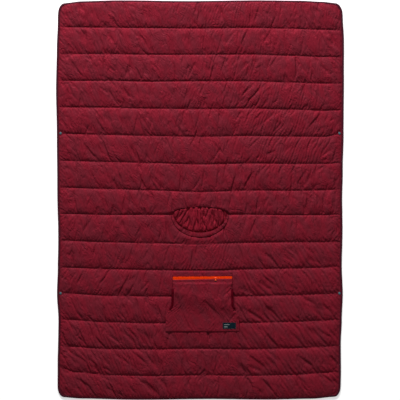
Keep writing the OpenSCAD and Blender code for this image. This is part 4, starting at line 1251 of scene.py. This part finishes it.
def build_label(panel):
    """Woven label sewn flat on the panel: a plain border and two plain bars, with no lettering."""
    x0, x1, y0, y1, _, _ = span("pocket_label")
    xs, ys = np.linspace(x0, x1, 45), np.linspace(y0, y1, 25)
    gx, gy = np.meshgrid(xs, ys)
    flat = panel.reshape(-1, 3)
    near = flat[(flat[:, 0] > x0 - 8) & (flat[:, 0] < x1 + 8) & (flat[:, 1] > y0 - 8) & (flat[:, 1] < y1 + 8)]
    apart = (gx[..., None] - near[:, 0]) ** 2 + (gy[..., None] - near[:, 1]) ** 2
    level = blurred(np.where(apart < 7.0 ** 2, near[:, 2], 0).max(axis=-1), 3) + 0.5
    edge = np.minimum(np.minimum(gx - x0, x1 - gx), np.minimum(gy - y0, y1 - gy))
    z = level + 0.45 * (edge < 1.6) * (edge > 0.4)
    bars = ((gx - x0 > 8) & (gx - x0 < 34) & (y1 - gy > 8.5) & (y1 - gy < 12)) | \
           ((gx - x0 > 8) & (gx - x0 < 24) & (gy - y0 > 8) & (gy - y0 < 11.5))
    z += 0.25 * bars
    top = np.stack([gx, gy, z], -1)
    points, faces = slab_between(top, np.stack([gx, gy, level - 0.5], -1))
    centre = points[faces[0]].mean(axis=1)
    cx, cy = centre[:, 0] - x0, centre[:, 1]
    on = ((cx > 8) & (cx < 34) & (y1 - cy > 8.5) & (y1 - cy < 12)) | ((cx > 8) & (cx < 24) & (cy - y0 > 8) & (cy - y0 < 11.5))
    index = np.concatenate([on.astype(int), np.zeros(len(faces[1]) + len(faces[2]), int)])
    piece = make_piece("woven_label", points, faces, [MATS["label"], MATS["label_bar"]], index)
    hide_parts("pocket_label")
    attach(piece, "front_half")
    ring = np.concatenate([top[1, 1:-1], top[1:-1, -2], top[-2, -2:0:-1], top[-2:0:-1, 1]]) + [0, 0, 0.35]
    thread = make_stitches("label_stitches", [ring], MATS["label_bar"], 3.0, 2.0, 0.5, 0.25)
    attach(thread, "front_half")


# ---------------------------------------------------------------- zip

def build_zip():
    for side, name in ((1, "upper"), (-1, "lower")):
        x0, x1, y0, y1, z0, z1 = span(f"zip_tape_{name}")
        xs, ys = np.linspace(x0, x1, 130), np.linspace(y0, y1, 9)
        gx, gy = np.meshgrid(xs, ys)
        far = np.abs(gy - (y0 if side > 0 else y1)) / (y1 - y0)
        z = z1 + 1.0 * (1 - far) ** 3 + 2.0 * (0.5 * waves(xs, 38) + 0.2 * waves(xs, 9))[None] * far * (1 - far) ** 3
        top = np.stack([gx, gy, z], -1)
        piece = make_piece(f"zip_cloth_{name}", *slab_between(top, top - [0, 0, z1 - z0]), [MATS["zip_tape"]])
        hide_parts(f"zip_tape_{name}")
        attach(piece, "front_half")
        # The coil is one monofilament wound round and round, two millimetres to a turn.
        x0, x1, y0, y1, z0, z1 = span(f"zip_coil_{name}")
        turns = int((x1 - x0 - 1) / 2.0)
        per_turn = 12
        t = np.arange(turns * per_turn + 1) / per_turn
        angle = 2 * math.pi * t + (0 if side > 0 else math.pi)
        wire, reach_y, reach_z = 0.33, (y1 - y0) / 2 - 0.33, (z1 - z0) / 2 - 0.33
        line = np.column_stack([x0 + 0.5 + 2.0 * t, (y0 + y1) / 2 + reach_y * np.cos(angle) * side,
                                (z0 + z1) / 2 + reach_z * np.sin(angle)])
        forward = np.gradient(line, axis=0)
        forward /= np.linalg.norm(forward, axis=1, keepdims=True)
        out = line - np.column_stack([line[:, 0], np.full(len(line), (y0 + y1) / 2), np.full(len(line), (z0 + z1) / 2)])
        out -= forward * np.sum(out * forward, axis=1, keepdims=True)
        out /= np.linalg.norm(out, axis=1, keepdims=True)
        beside = np.cross(forward, out)
        ring = np.linspace(0, 2 * math.pi, 6, endpoint=False)
        sections = line[:, None] + wire * (out[:, None] * np.cos(ring)[None, :, None]
                                           + beside[:, None] * np.sin(ring)[None, :, None])
        coil = make_piece(f"zip_winding_{name}", *skin_sections(sections[:, ::-1]), [MATS["zip_coil"]])
        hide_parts(f"zip_coil_{name}")
        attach(coil, "front_half")


def finish_hard_parts():
    """Better materials and softened edges on the CAD parts that stay."""
    for node, material, width in (("zip_slider", "slider", 0.18), ("zip_pull", "pull", 0.22),
                                  ("zip_end_stops", "zip_coil", 0.35)):
        part = frame["nodes"][node]
        part.data.materials.clear()
        part.data.materials.append(MATS[material])
        bevel = part.modifiers.new("soft_edges", "BEVEL")
        bevel.width, bevel.segments, bevel.limit_method = width * MM, 2, "ANGLE"
    for node in SNAP_CAPS + [f"snap_{kind}_{side}" for kind in ("socket", "stud") for side in ("left", "right")]:
        part = frame["nodes"][node]
        part.data.materials.clear()
        part.data.materials.append(MATS["snap"])


add_studio()
MATS = make_materials()
FACE, LINING = build_quilt(MATS)
build_binding()
build_quilt_stitches()
build_collar()
build_hood()
build_label(build_pocket())
build_zip()
finish_hard_parts()
